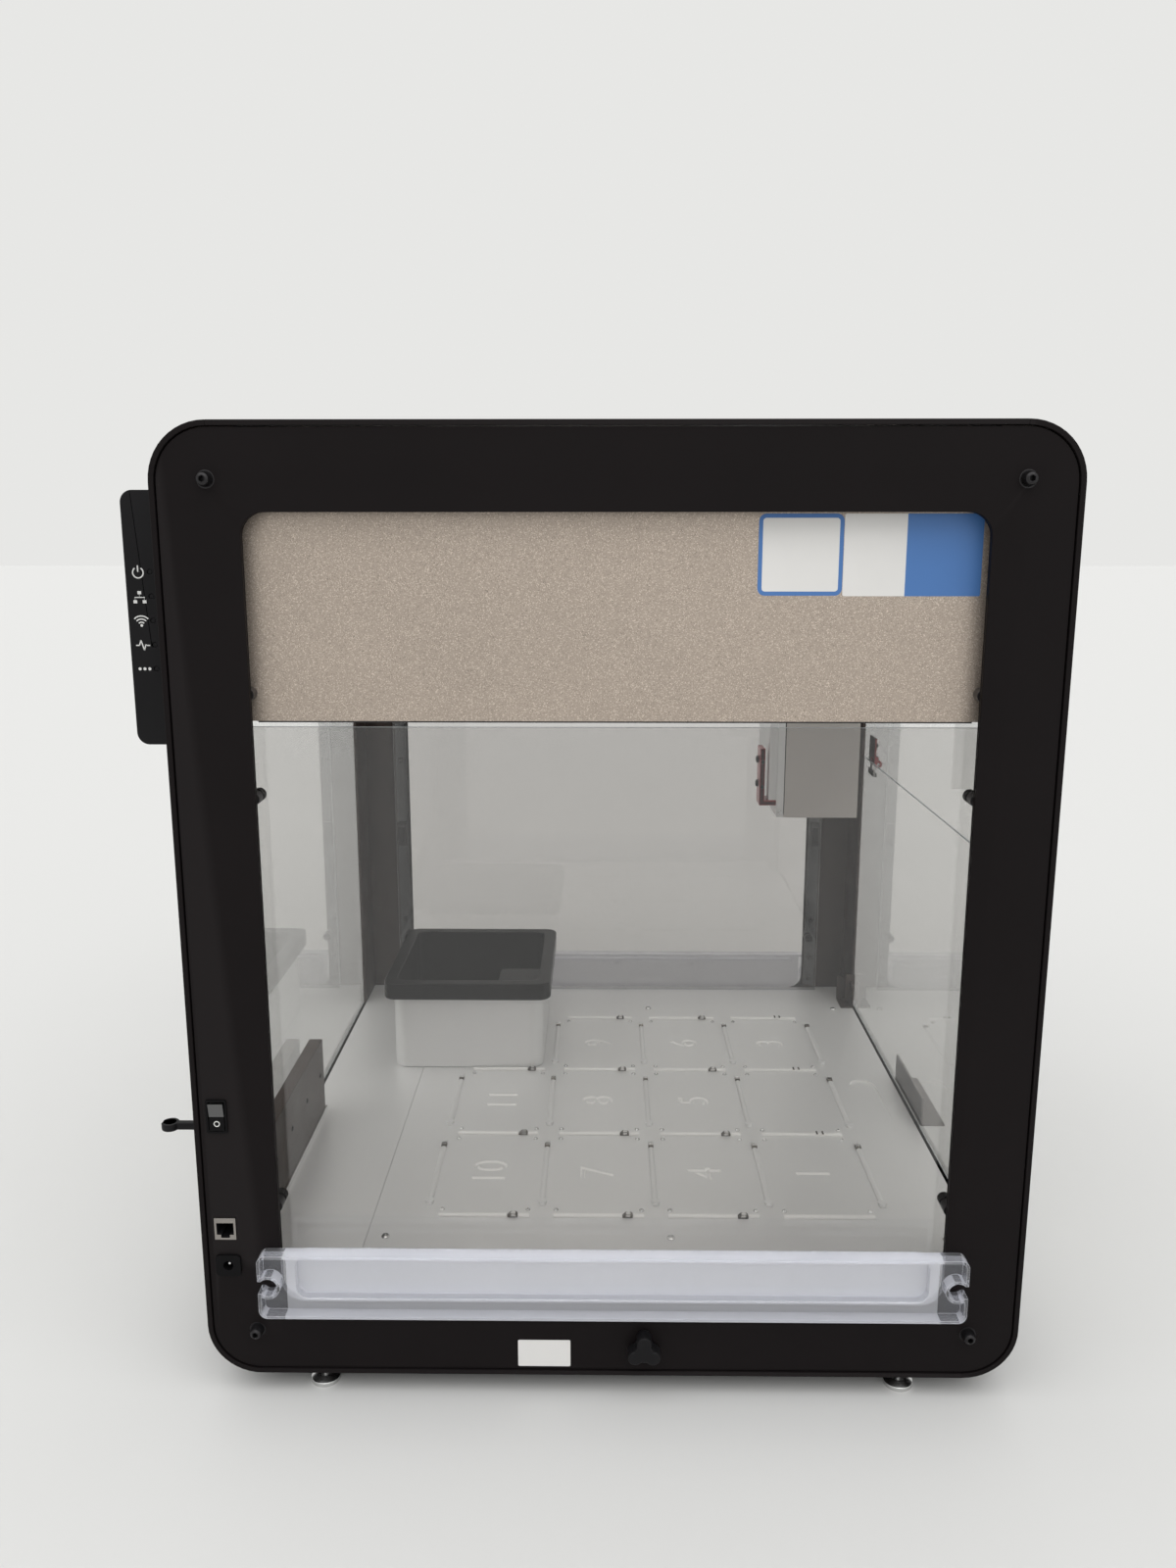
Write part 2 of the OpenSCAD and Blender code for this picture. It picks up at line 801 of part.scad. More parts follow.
// Stands on the posts, and the thumb screws that clamp the windows and panels to them
module window_screws() {
    post_face = side_back - post_t;
    color(black) both_sides() {
        for (y = [-stand_y, stand_y], z = concat(window_stands, panel_stands)) difference() {
            rod_x(panel_face, post_face, stand_d / 2, y, z);
            rod_x(panel_face - 1, post_face + 1, screw_d / 2 + screw_gap, y, z);
        }
        for (y = [-stand_y, stand_y], z = window_stands) {
            rod_x(panel_face - window_t - thumb_t, panel_face - window_t, thumb_d / 2, y, z);
            rod_x(panel_face - window_t, post_face - 2, screw_d / 2, y, z);
        }
        for (y = [-stand_y, stand_y], z = panel_stands) {
            rod_x(panel_face - panel_t - head_t, panel_face - panel_t, head_d / 2, y, z);
            rod_x(panel_face - panel_t, post_face - 2, screw_d / 2, y, z);
        }
    }
}

// Folded corner post, with a bolted strip along its side leg and an angle at its foot
module corner_post() {
    intersection() {
        inside();
        difference() {
            union() {
                block([post_in_x, -end_back, z0], [post_out_x, -end_back + post_t, z_top]);
                block([post_out_x - post_t, -end_back, z0], [post_out_x, -leg_y, z_top]);
            }
            for (z = frame_screw_heights()) rod_x(0, body_w, screw_d / 2 + screw_gap, -frame_screw_y, z);
            rod_x(0, body_w, cover_stud_r + screw_gap, -stud_y, stud_z);
        }
    }
    strip_x = post_out_x - post_t;
    difference() {
        block([strip_x - strip_t, -leg_y - strip_w, deck_top + strip_up], [strip_x, -leg_y, open_z1]);
        for (z = concat(window_stands, panel_stands))
            rod_x(0, body_w, stand_d / 2 + 2 * screw_gap, -stand_y, z);
    }
}

module corner_posts() {
    color(dark_steel) difference() {
        both_sides() both_ends() corner_post();
        inlet_cuts();
    }
    angle = 14;
    color(dark_steel) both_sides() difference() {
        block([post_in_x - angle, -end_back + post_t, deck_top],
              [post_in_x + angle, -end_back + post_t + angle, deck_top + 2 * angle]);
        block([post_in_x - body_w, -end_back + post_t + 2, deck_top + 2],
              [post_in_x + angle - 2, 0, deck_top + 3 * angle]);
    }
}

module deck_outline() {
    square([2 * deck_x, 2 * deck_y], center = true);
}

// Deck in two plates; the front one has a finger pocket that slopes down towards its right end
module deck_plates() {
    slope = atan(finger_depth / finger_len);
    color(alloy) difference() {
        upward(deck_low, deck_top) difference() {
            deck_outline();
            translate([-body_w, deck_seam - seam_gap / 2]) square([2 * body_w, seam_gap]);
        }
        intersection() {
            upward(deck_low, deck_top + 1) translate([0, finger_y])
                rounded(finger_len, finger_w, finger_w / 2 - 0.1);
            translate([-finger_len / 2, -body_d, deck_top]) rotate([0, slope, 0])
                cube([2 * finger_len, body_d, 10]);
        }
        for (p = deck_screw_places()) rod_z(deck_low - 1, deck_top + 1, deck_screw_r + screw_gap, p.x, p.y);
    }
}

function deck_screw_places() = let (x = deck_x - deck_screw_side, y0 = deck_screw_front - deck_y)
    concat([for (s = [-1, 1], y = [y0, y0 + deck_screw_step]) [s * x, y]],
           [[-x, deck_seam - deck_screw_rear]]);

module deck_screws() {
    color(steel) for (p = deck_screw_places()) {
        rod_z(deck_top, deck_top + deck_screw_r, 2 * deck_screw_r, p.x, p.y);
        rod_z(deck_low, deck_top, deck_screw_r, p.x, p.y);
    }
}

// A slot guide is a low bar with a rounded top
module guide_bar(length) {
    r = guide_w * 0.62;
    translate([-length / 2, 0, 0]) rotate([90, 0, 90]) linear_extrude(length) intersection() {
        translate([0, guide_h - r]) circle(r);
        translate([-guide_w / 2, 0]) square([guide_w, guide_h]);
    }
}

function side_guides() =
    [for (i = [0:3], j = rows) if (i < 3 || j < 3) [(i - 1.5) * slot_x, row_y + j * slot_y, j]];
function cross_guides() =
    [for (i = columns, j = [0:4]) if (i < 1 || j < 4) [i * slot_x, row_y + (j - 0.5) * slot_y, j]];

module clip_place(g, across) {
    if (across) translate([g.x + guide_x / 2 - clip_len, g.y, deck_top]) children();
    else translate([g.x, g.y - slot_y / 4, deck_top]) rotate(90) children();
}

module clip_gap() {
    translate([0, 0, guide_h]) cube([clip_len + 0.6, 2 * guide_w, 3 * guide_h], center = true);
}

module slot_guides() {
    color(alloy) {
        for (g = side_guides()) difference() {
            translate([g.x, g.y, deck_top]) rotate(90) guide_bar(guide_y);
            if (g.z > 0) clip_place(g, false) clip_gap();
        }
        for (g = cross_guides()) difference() {
            translate([g.x, g.y, deck_top]) union() {
                guide_bar(guide_x);
                translate([-guide_x / 2 + guide_w, 0, 0]) cylinder(r = guide_w * 0.75, h = guide_h + 0.4);
            }
            clip_place(g, true) clip_gap();
        }
    }
}

// A leaf spring bent into a low arch over its foot
module clip() {
    t = 0.6;
    rise = guide_h + 0.9;
    rotate([90, 0, 0]) linear_extrude(guide_w, center = true) translate([-clip_len / 2, 0]) difference() {
        polygon([[0, 0], [clip_len, 0], [clip_len, t], [clip_len * 0.65, rise], [clip_len * 0.2, rise],
                 [0, 3 * t]]);
        polygon([[t, t], [clip_len - 2 * t, t], [clip_len * 0.6, rise - t], [clip_len * 0.25, rise - t]]);
    }
}

module slot_clips() {
    color(dark_steel) {
        for (g = side_guides()) if (g.z > 0) clip_place(g, false) clip();
        for (g = cross_guides()) clip_place(g, true) clip();
    }
}

// Folded cover over the wiring behind the deck
module rear_cover() {
    t = 2;
    x0 = duct_in - deck_x;
    x1 = x0 + duct_w;
    back = deck_y - 1;
    face = back - duct_d;
    color(dark_steel) difference() {
        block([x0, face, deck_top], [x1, back, deck_top + duct_h]);
        block([x0 - 1, face + t, deck_top - 1], [x1 - t, back + 1, deck_top + duct_h - t]);
    }
}

// Trash: a sheet housing on the deck, and a bin that lifts out of it
house_x = bin_x - 2 * rim_over;
house_y = bin_y - 2 * rim_over;
rim_top = deck_top + bin_h;
rim_low = rim_top - rim_h;

module at_bin() {
    translate([bin_cx, bin_cy]) children();
}

module trash_housing() {
    color(alloy) difference() {
        upward(deck_top, rim_low) at_bin() rounded(house_x, house_y, 14);
        upward(deck_top + housing_t, rim_low + 1) at_bin()
            rounded(house_x - 2 * housing_t, house_y - 2 * housing_t, 14 - housing_t);
    }
}

module trash_bin() {
    grow = housing_t + bin_gap;
    floor_z = deck_top + housing_t + 1;
    color(black) {
        difference() {
            union() {
                upward(floor_z, rim_low) at_bin() rounded(house_x - 2 * grow, house_y - 2 * grow, 14 - grow);
                upward(rim_low, rim_top) at_bin() rounded(bin_x, bin_y, 12);
            }
            upward(floor_z + bin_wall, rim_top + 1) at_bin()
                rounded(house_x - 2 * (grow + bin_wall), house_y - 2 * (grow + bin_wall),
                        14 - grow - bin_wall);
        }
        upward(rim_top - 5, rim_top - 3)
            translate([bin_cx - house_x / 2 + ledge / 2, bin_cy - house_y / 2 + ledge / 2])
            rounded(ledge, ledge, 8);
    }
}

// Y beams with their rails, the members across them and the plates that carry the belt pulleys
module y_beam() {
    block([beam_in, -beam_end, beam_z0], [beam_in + beam_w, beam_end, beam_z1]);
    block([rail_cx - rail_w / 2, -beam_end + 10, beam_z1], [rail_cx + rail_w / 2, beam_end - 10, rail_top]);
}

module shaft_plate(r) {
    plate_t = 4.5;
    difference() {
        block([post_in_x, belt_y - 12, belt_z - 14], [post_in_x + plate_t, beam_end, belt_z + 14]);
        rod_x(0, body_w, r, belt_y, belt_z);
    }
}

module cross_member() {
    block([-beam_in, beam_end - cross_s, cross_z], [beam_in, beam_end, cross_z + cross_s]);
}

module y_beams() {
    color(alloy) {
        both_sides() {
            y_beam();
            shaft_plate(shaft_d / 2 + run_gap);
            mirror([0, 1, 0]) shaft_plate(2.5 + run_gap);
        }
        both_ends() cross_member();
    }
}

module belt_loop(reach) {
    translate([-reach, 0]) circle(belt_in + belt_t);
    translate([reach, 0]) circle(belt_in + belt_t);
    square([2 * reach, 2 * (belt_in + belt_t)], center = true);
}

module belt_hole(reach) {
    translate([-reach, 0]) circle(belt_in);
    translate([reach, 0]) circle(belt_in);
    square([2 * reach, 2 * belt_in], center = true);
}

module y_belts() {
    color(black) both_sides()
        along_x(belt_x - belt_w / 2, belt_x + belt_w / 2) translate([0, belt_z]) difference() {
        belt_loop(belt_y);
        belt_hole(belt_y);
    }
}

module y_motor() {
    x1 = -beam_in + 102;
    y = belt_y;
    color(black) difference() {
        union() {
            block([x1 - motor_len, y - motor_w / 2, belt_z - motor_w / 2],
                  [x1, y + motor_w / 2, belt_z + motor_w / 2]);
            block([x1, y - motor_w / 2, belt_z - motor_w / 2], [x1 + 4, y + motor_w / 2, cross_z]);
        }
        rod_x(x1 - 2 * motor_len, x1 + 10, shaft_d / 2 + 2 * screw_gap, y, belt_z);
    }
}

module y_drive_shaft() {
    color(steel) {
        rod_x(-belt_x - belt_w / 2, belt_x + belt_w / 2, shaft_d / 2, belt_y, belt_z);
        both_sides() rod_x(belt_x - belt_w / 2, belt_x + belt_w / 2, pulley_r, belt_y, belt_z);
    }
}

module y_idlers() {
    color(steel) both_sides() {
        rod_x(post_in_x - 2, belt_x + belt_w / 2, 2.5, -belt_y, belt_z);
        rod_x(belt_x - belt_w / 2, belt_x + belt_w / 2, pulley_r, -belt_y, belt_z);
    }
}

// Lamp strip under the front cross member
module light_bar() {
    half = beam_in - light_in;
    y = -beam_end + 2;
    color([0.95, 0.95, 0.9]) block([-half, y, cross_z - light_h], [half, y + light_w, cross_z]);
}

module levelling_feet() {
    disc_t = 3;
    color(steel) for (x = [-foot_x, foot_x], y = [-foot_y, foot_y]) {
        rod_z(0, disc_t, foot_r, x, y);
        translate([x, y, disc_t]) cylinder(r1 = foot_r, r2 = 2 * foot_stud_r, h = disc_t);
        rod_z(2 * disc_t, z0 + shell_t + foot_stud_up, foot_stud_r, x, y);
        translate([x, y, z0 - 4]) cylinder(r = 2 * foot_stud_r - 0.2, h = 4, $fn = 6);
    }
}

module switch_bezel() {
    color(black) along_x(-side_face - 1.5, -side_face) translate([switch_y, switch_z]) difference() {
        rounded(switch_w, switch_h, 1.5);
        rounded(switch_w - 3, switch_h - 3, 0.8);
    }
}

// Rocker with two faces that meet over its pivot
module switch_rocker() {
    w = switch_w - 4;
    h = (switch_h - 4) / 2;
    color(black) translate([-side_face, switch_y + w / 2, switch_z]) rotate([0, -5, 0]) rotate([90, 0, 0])
        linear_extrude(w) polygon([[-1.2, 0], [-2.2, h], [3, h - 1], [8, 2], [8, -2], [3, -h + 1], [-2.2, -h]]);
}

module network_socket() {
    color(steel) difference() {
        along_x(-side_face - 0.6, -side_back + 16) translate([net_y, net_z]) square([net_w, net_h], center = true);
        block([-body_w, net_y - 5.9, net_z - 4.4], [-side_back + 13, net_y + 5.9, net_z + 4.4]);
        block([-body_w, net_y - 3, net_z - 6.8], [-side_back + 13, net_y + 3, net_z]);
    }
}

module power_socket() {
    color(black) difference() {
        union() {
            along_x(-side_face - 2, -side_face) translate([power_y, power_z]) rounded(power_w, 15.8, 3);
            rod_x(-side_face, -side_back + 14, 6, power_y, power_z);
        }
        rod_x(-body_w, -side_back + 8, 3.4, power_y, power_z);
    }
    color(steel) rod_x(-side_back - 2, -side_back + 8, 1, power_y, power_z);
}

// Hub on the back: a housing with rounded edges and a row of lamps down its left face
module status_hub() {
    lamps = [for (i = [0:4]) [end_face + lamp_back, hub_z1 - lamp_drop - i * lamp_pitch]];
    color(black) difference() {
        intersection() {
            along_x(hub_x0, hub_x0 + hub_w) translate([end_face, (hub_z0 + hub_z1) / 2])
                rounded(2 * hub_d, hub_h, hub_r);
            block([hub_x0, end_face, hub_z0], [hub_x0 + hub_w, end_face + hub_d, hub_z1]);
        }
        for (p = lamps) rod_x(hub_x0 - 1, hub_x0 + 2, lamp_r + 0.1, p.x, p.y);
    }
    color(steel) for (p = lamps) rod_x(hub_x0 + 0.4, hub_x0 + 2, lamp_r, p.x, p.y);
}

module cable_hook() {
    x = 14 - body_w / 2;
    z = switch_z - 13.5;
    r = 6;
    color(black) difference() {
        union() {
            rod_z(z - 2.5, z + 2.5, r, x, end_face + 21);
            block([x - 2.5, end_face, z - 2.5], [x + 2.5, end_face + 21, z + 2.5]);
            rod_y(end_face, end_face + 2.5, 6, x, z);
        }
        rod_z(z - 5, z + 5, r - 2.5, x, end_face + 21);
        block([x - 1.5, end_face + 21, z - 5], [x + 1.5, end_face + 40, z + 5]);
    }
}

module lobe_knob() {
    color(black) {
        along_x(-side_face - 11, -side_face - slide_gap) translate([knob_y, knob_z]) {
            circle(knob_r * 0.55);
            for (a = [90, 210, 330]) rotate(a) translate([knob_r * 0.58, 0]) circle(knob_r * 0.42);
        }
        rod_x(-side_face - 1, -side_back + 8, 3, knob_y, knob_z);
    }
}

module status_button() {
    face = -pane_in - panel_t;
    color(clear) {
        rod_y(face - 1.8, face + panel_t + 3, button_r, 0, button_z);
        rod_y(face + panel_t + press + 0.3, face + panel_t + 3, button_r + 2, 0, button_z);
    }
}

// Hinge: knuckles in front of the panes, so that the door folds up over the fixed pane
module knuckle(x0, x1, z_leaf0, z_leaf1, bore) {
    difference() {
        union() {
            rod_x(x0, x1, knuckle_r, hinge_y, hinge_z);
            block([x0, hinge_y, min(z_leaf0, z_leaf1)], [x1, -pane_out, max(z_leaf0, z_leaf1)]);
        }
        rod_x(x0 - 1, x1 + 1, bore, hinge_y, hinge_z);
    }
}

module upper_hinge_leaves() {
    third = hinge_w / 3;
    color(dark_steel) for (s = [-1, 1]) translate([s * hinge_x, 0, 0]) {
        for (e = [-1, 1]) translate([e * third, 0, 0])
            knuckle(-third / 2, third / 2, hinge_z, hinge_z + knuckle_r + 4, pin_r + run_gap);
        block([-hinge_w / 2, -pane_out - leaf_t, hinge_z + knuckle_r + 2],
              [hinge_w / 2, -pane_out, hinge_z + leaf_h]);
    }
}

module lower_hinge_leaves() {
    third = hinge_w / 3;
    low = hinge_z - knuckle_r - 4;
    color(steel) for (s = [-1, 1]) translate([s * hinge_x, 0, 0]) {
        knuckle(-third / 2 + slide_gap, third / 2 - slide_gap, low, hinge_z - 1, pin_r - 0.2);
        block([-hinge_w / 2, -pane_out - leaf_t, hinge_z - leaf_h / 2], [hinge_w / 2, -pane_out, low + 1]);
        rod_x(-hinge_w / 2, hinge_w / 2, pin_r, hinge_y, hinge_z);
    }
}

module door_pane() {
    color(clear) end_sheet(front_open_w, 0, door_z, window_t);
}

module door_handle() {
    w = handle_w / 2;
    color(dark_steel) {
        block([-w, -pane_out - 2, open_z0 + 2], [w, -pane_out, open_z0 + 2 + handle_h]);
        block([-w, -pane_out - handle_lip, open_z0 + 2], [w, -pane_out - 2, open_z0 + 4]);
    }
}

// X beam with its rail on the front face
module x_beam() {
    rail_z = (arm_z0 + arm_z1) / 2;
    color(alloy) {
        difference() {
            block([-arm_reach, arm_front, arm_z0], [arm_reach, arm_front + arm_w, arm_z1]);
            block([-body_w, arm_front + arm_wall, arm_z0 + arm_wall],
                  [body_w, arm_front + arm_w - arm_wall, arm_z1 - arm_wall]);
            for (x = [-x_pulley_x, x_pulley_x]) rod_z(arm_z0 - 1, arm_z1 + 1, 2.5 + run_gap, x, arm_y);
        }
        block([-arm_reach + 4, arm_front - rail_h, rail_z - rail_w / 2],
              [arm_reach - 4, arm_front, rail_z + rail_w / 2]);
    }
}

// Gantry ends: bearing carriages on the Y rails, joined to the X beam by bent plates
module gantry_end() {
    difference() {
        block([rail_cx - carriage_w / 2, arm_y - carriage_len / 2, beam_z1 + slide_gap + 2],
              [rail_cx + carriage_w / 2, arm_y + carriage_len / 2, end_z]);
        block([rail_cx - rail_w / 2 - slide_gap, -body_d, 0],
              [rail_cx + rail_w / 2 + slide_gap, body_d, rail_top + slide_gap]);
    }
    front = arm_y - carriage_len / 2;
    back = arm_y + carriage_len / 2;
    block([arm_reach, front, end_z], [rail_cx + carriage_w / 2, back, end_z + end_t]);
    block([arm_reach, front, arm_z0], [arm_reach + end_t, back, end_z]);
    block([arm_reach + end_t, arm_y - 8, belt_z + belt_in + belt_t + slide_gap],
          [belt_x + belt_w / 2, arm_y + 8, belt_z + belt_in + belt_t + 8]);
}

module gantry_ends() {
    color(dark_steel) both_sides() gantry_end();
}

module x_belt() {
    color(black) upward(x_belt_z, x_belt_z + belt_w) translate([0, arm_y]) difference() {
        belt_loop(x_pulley_x);
        belt_hole(x_pulley_x);
    }
}

module x_motor() {
    color(black) difference() {
        block([x_pulley_x - x_motor_w / 2, arm_y - x_motor_w / 2, arm_z0 - 26],
              [x_pulley_x + x_motor_w / 2, arm_y + x_motor_w / 2, arm_z0]);
        rod_z(arm_z0 - 8, arm_z0 + 1, 2.5 + run_gap, x_pulley_x, arm_y);
    }
}

module x_pulley(low) {
    rod_z(low, x_belt_z + belt_w, 2.5, 0, 0);
    rod_z(x_belt_z, x_belt_z + belt_w, pulley_r, 0, 0);
}

module x_drive_pulley() {
    color(steel) translate([x_pulley_x, arm_y, 0]) x_pulley(arm_z0 - 7);
}

module x_idler_pulley() {
    color(steel) translate([-x_pulley_x, arm_y, 0]) x_pulley(arm_z0);
}

function stage_x(s) = head_cx + s * stage_pitch / 2;
function lead_x(s) = stage_x(s) + s * lead_off;

// Head: back plate with the X carriage behind it and the Z rails in front
module head_plate() {
    rail_z = (arm_z0 + arm_z1) / 2;
    inner = arm_front - rail_h - slide_gap;
    color(alloy) difference() {
        union() {
            block([head_x0 + cheek_t, back_face, head_z0], [head_x1 - cheek_t, head_back, head_z1]);
            block([head_cx - 30, head_back, rail_z - 17], [head_cx + 30, arm_front - 2, rail_z + 17]);
            block([head_cx - 12, head_back, x_belt_z],
                  [head_cx + 12, arm_y - belt_in - belt_t - slide_gap, x_belt_z + belt_w]);
            block([head_cx - 12, head_back - 1, rail_z], [head_cx + 12, head_back + 4, x_belt_z + belt_w]);
            block([head_x0 + cheek_t, lead_y - 5, head_z0], [head_x1 - cheek_t, head_back, head_z0 + ledge_h]);
            block([head_x0 + cheek_t, head_front, head_z1 - 4], [head_x1 - cheek_t, head_back, head_z1]);
            block([0, head_back, bracket_z + 5], [12, head_back + 7, arm_z0 - 12]);
            for (s = [-1, 1]) block([stage_x(s) - rail_w / 2, back_face - z_rail_t, head_z0],
                                    [stage_x(s) + rail_w / 2, head_back, head_z1]);
        }
        block([head_cx - 40, inner, rail_z - rail_w / 2 - slide_gap],
              [head_cx + 40, arm_front, rail_z + rail_w / 2 + slide_gap]);
        for (s = [-1, 1]) {
            rod_z(head_z0 + 1.5, head_z0 + 2 * ledge_h, lead_r + run_gap, lead_x(s), lead_y);
            rod_z(head_z1 - 10, head_z1 + 1, lead_r + run_gap, lead_x(s), lead_y);
        }
    }
}

// Side plates with a rounded lower corner
module head_side_plate() {
    r = 10;
    along_x(head_x0, head_x0 + cheek_t) difference() {
        translate([head_front, head_z0]) square([head_back - head_front, head_z1 - head_z0]);
        difference() {
            translate([head_back - r, head_z0 - 1]) square([r + 1, r + 1]);
            translate([head_back - r, head_z0 + r]) circle(r);
        }
    }
}

module head_side_plates() {
    color(grey) {
        head_side_plate();
        translate([head_w - cheek_t, 0, 0]) head_side_plate();
    }
}

// Red bracket under the guide bar, which locks the head for transport
module transport_bracket() {
    y0 = head_back;
    z = bracket_z;
    color(red) difference() {
        union() {
            block([0, y0, z], [20, y0 + 15, z + 4.9]);
            block([0, y0 + 11, z], [20, y0 + 15, z + 52]);
        }
        for (h = [18, 40]) rod_y(y0, y0 + 20, 2, 14, z + h);
    }
}

module z_motors() {
    color(black) for (s = [-1, 1]) difference() {
        block([lead_x(s) - motor_w / 2, lead_y - motor_w / 2, head_z1],
              [lead_x(s) + motor_w / 2, lead_y + motor_w / 2, head_z1 + z_motor_len]);
        rod_z(head_z1 - 1, head_z1 + 12, lead_r + run_gap, lead_x(s), lead_y);
    }
}

module lead_screw(s) {
    color(steel) rod_z(head_z0 + 1.6, head_z1 + 11, lead_r, lead_x(s), lead_y);
}

module left_lead_screw() {
    lead_screw(-1);
}

module right_lead_screw() {
    lead_screw(1);
}

// Z stage: a plate for the pipette, on a bearing block with the lead nut, and the plunger drive
module z_stage(s) {
    x = stage_x(s);
    nut_x = lead_x(s);
    block_y0 = stage_back;
    block_y1 = back_face - slide_gap - 2;
    rail_low = plunger_z - 34;
    mid = (stage_z0 + stage_z1) / 2 - 35;
    color(black) difference() {
        union() {
            block([x - stage_w / 2, stage_face, stage_z0], [x + stage_w / 2, stage_back, stage_z1]);
            block([min(x - s * 15, nut_x + s * 6.5), block_y0, block_z0],
                  [max(x - s * 15, nut_x + s * 6.5), block_y1, block_z0 + block_h]);
            block([x - plunger_w / 2, stage_face - plunger_w, stage_z1 - plunger_w],
                  [x + plunger_w / 2, stage_face, stage_z1]);
            block([x - 3, stage_face - 3, rail_low], [x + 3, stage_face, stage_z1 - plunger_w]);
            block([x - 8, plunger_y - 5, rail_low], [x + 8, stage_face, rail_low + 6]);
            rod_z(rail_low + 3, stage_z1 - plunger_w + 2, plunger_screw_r, x, plunger_y);
        }
        block([x - rail_w / 2 - slide_gap, back_face - z_rail_t - slide_gap, 0],
              [x + rail_w / 2 + slide_gap, back_face, z_top]);
        rod_z(0, z_top, lead_r + run_gap, nut_x, lead_y);
        for (a = [-1, 1], b = [-1, 1])
            rod_y(stage_face - 40, stage_back + 1, hole_r, x + a * hole_x / 2, mid + b * hole_z / 2);
    }
}

module left_z_stage() {
    z_stage(-1);
}

module right_z_stage() {
    z_stage(1);
}

// Plunger carriage: a small fork on the stage's front rail
module plunger(s) {
    x = stage_x(s);
    color(steel) difference() {
        block([x - 12, plunger_y - 8, plunger_z], [x + 12, stage_face - slide_gap, plunger_z + 12]);
        block([x - 3 - slide_gap, stage_face - 3 - slide_gap, plunger_z - 1],
              [x + 3 + slide_gap, stage_face, plunger_z + 13]);
        rod_z(plunger_z - 1, plunger_z + 13, plunger_screw_r + run_gap, x, plunger_y);
        block([x - 5, plunger_y - 20, plunger_z + 4], [x + 5, plunger_y - 5, plunger_z + 8]);
    }
}

module left_plunger() {
    plunger(-1);
}

module right_plunger() {
    plunger(1);
}

base_pan();
top_cover();
front_frame();
rear_frame();
left_side_frame();
right_side_frame();
opening_lips();
front_panel();
rear_panel();
side_panels();
front_window();
rear_window();
side_windows();
top_window();
side_covers();
frame_screws();
window_screws();
corner_posts();
deck_plates();
slot_guides();
slot_clips();
deck_screws();
rear_cover();
trash_housing();
trash_bin();
y_beams();
y_belts();
y_motor();
light_bar();
levelling_feet();
switch_bezel();
switch_rocker();
network_socket();
power_socket();
status_hub();
cable_hook();
lobe_knob();
status_button();
upper_hinge_leaves();
lower_hinge_leaves();
door_pane();
door_handle();
y_drive_shaft();
y_idlers();
x_beam();
gantry_ends();
x_belt();
x_motor();
x_drive_pulley();
x_idler_pulley();
head_plate();
head_side_plates();
transport_bracket();
z_motors();
left_lead_screw();
right_lead_screw();
left_z_stage();
right_z_stage();
left_plunger();
right_plunger();
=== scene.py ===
"""Benchtop liquid handling robot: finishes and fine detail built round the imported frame."""

import json
import math

import bmesh
import bpy
from bpy.props import FloatProperty, FloatVectorProperty, IntProperty, PointerProperty
from mathutils import Matrix, Vector

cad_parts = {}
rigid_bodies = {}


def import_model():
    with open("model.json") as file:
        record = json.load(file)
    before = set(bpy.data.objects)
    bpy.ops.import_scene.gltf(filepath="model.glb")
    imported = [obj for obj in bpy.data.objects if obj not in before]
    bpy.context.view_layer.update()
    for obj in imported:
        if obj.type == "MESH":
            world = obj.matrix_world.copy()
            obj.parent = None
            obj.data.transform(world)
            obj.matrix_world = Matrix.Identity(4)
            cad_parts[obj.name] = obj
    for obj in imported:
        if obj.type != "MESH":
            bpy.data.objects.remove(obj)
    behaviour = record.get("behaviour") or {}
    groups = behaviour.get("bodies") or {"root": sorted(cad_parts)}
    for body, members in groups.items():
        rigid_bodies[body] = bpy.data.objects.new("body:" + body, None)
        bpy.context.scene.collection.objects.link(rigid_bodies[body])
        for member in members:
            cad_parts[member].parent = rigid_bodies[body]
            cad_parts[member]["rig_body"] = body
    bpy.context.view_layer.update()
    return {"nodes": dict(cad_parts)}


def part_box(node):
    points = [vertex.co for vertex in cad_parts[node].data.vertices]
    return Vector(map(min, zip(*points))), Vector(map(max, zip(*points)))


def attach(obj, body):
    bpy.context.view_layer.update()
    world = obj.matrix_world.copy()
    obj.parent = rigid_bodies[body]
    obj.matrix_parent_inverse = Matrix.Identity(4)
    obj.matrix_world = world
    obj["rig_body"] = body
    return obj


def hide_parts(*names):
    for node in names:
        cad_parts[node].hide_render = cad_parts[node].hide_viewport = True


bl_info = {
    "name": "Liquid handling robot",
    "version": (1, 0, 0),
    "blender": (4, 5, 0),
    "location": "3D View > Sidebar > Robot",
    "description": "Builds the finished pieces of a benchtop liquid handling robot",
    "category": "Object",
}

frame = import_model()
MM = 0.001
NODES = frame["nodes"]
AXES = {"x": Vector((1, 0, 0)), "y": Vector((0, 1, 0)), "z": Vector((0, 0, 1))}
BOTH = (-1, 1)

# Deck slots: pitch along X and along Y and middle of the front row in millimetres, slots in a row and in all
SLOT_X, SLOT_Y, FRONT_ROW, ROW, SLOTS = 132.5, 90.5, -171.7, 3, 11
# Bores in each rail: first one and pitch in millimetres, how many and their radius
FIRST_BORE, BORE_PITCH, BORES, BORE_RADIUS = -210, 60, 8, 2.6
# Place of the camera in metres
CAMERA = (-1.0495, 0.0079, 0.5954)


# ---------------------------------------------------------------- modelling helpers


def deselect():
    if bpy.context.mode != "OBJECT":
        bpy.ops.object.mode_set(mode="OBJECT")
    bpy.ops.object.select_all(action="DESELECT")


def choose(*objects):
    deselect()
    for o in objects:
        o.select_set(True)
    bpy.context.view_layer.objects.active = objects[0]


def settle(obj):
    choose(obj)
    bpy.ops.object.transform_apply(location=True, rotation=True, scale=True)
    return obj


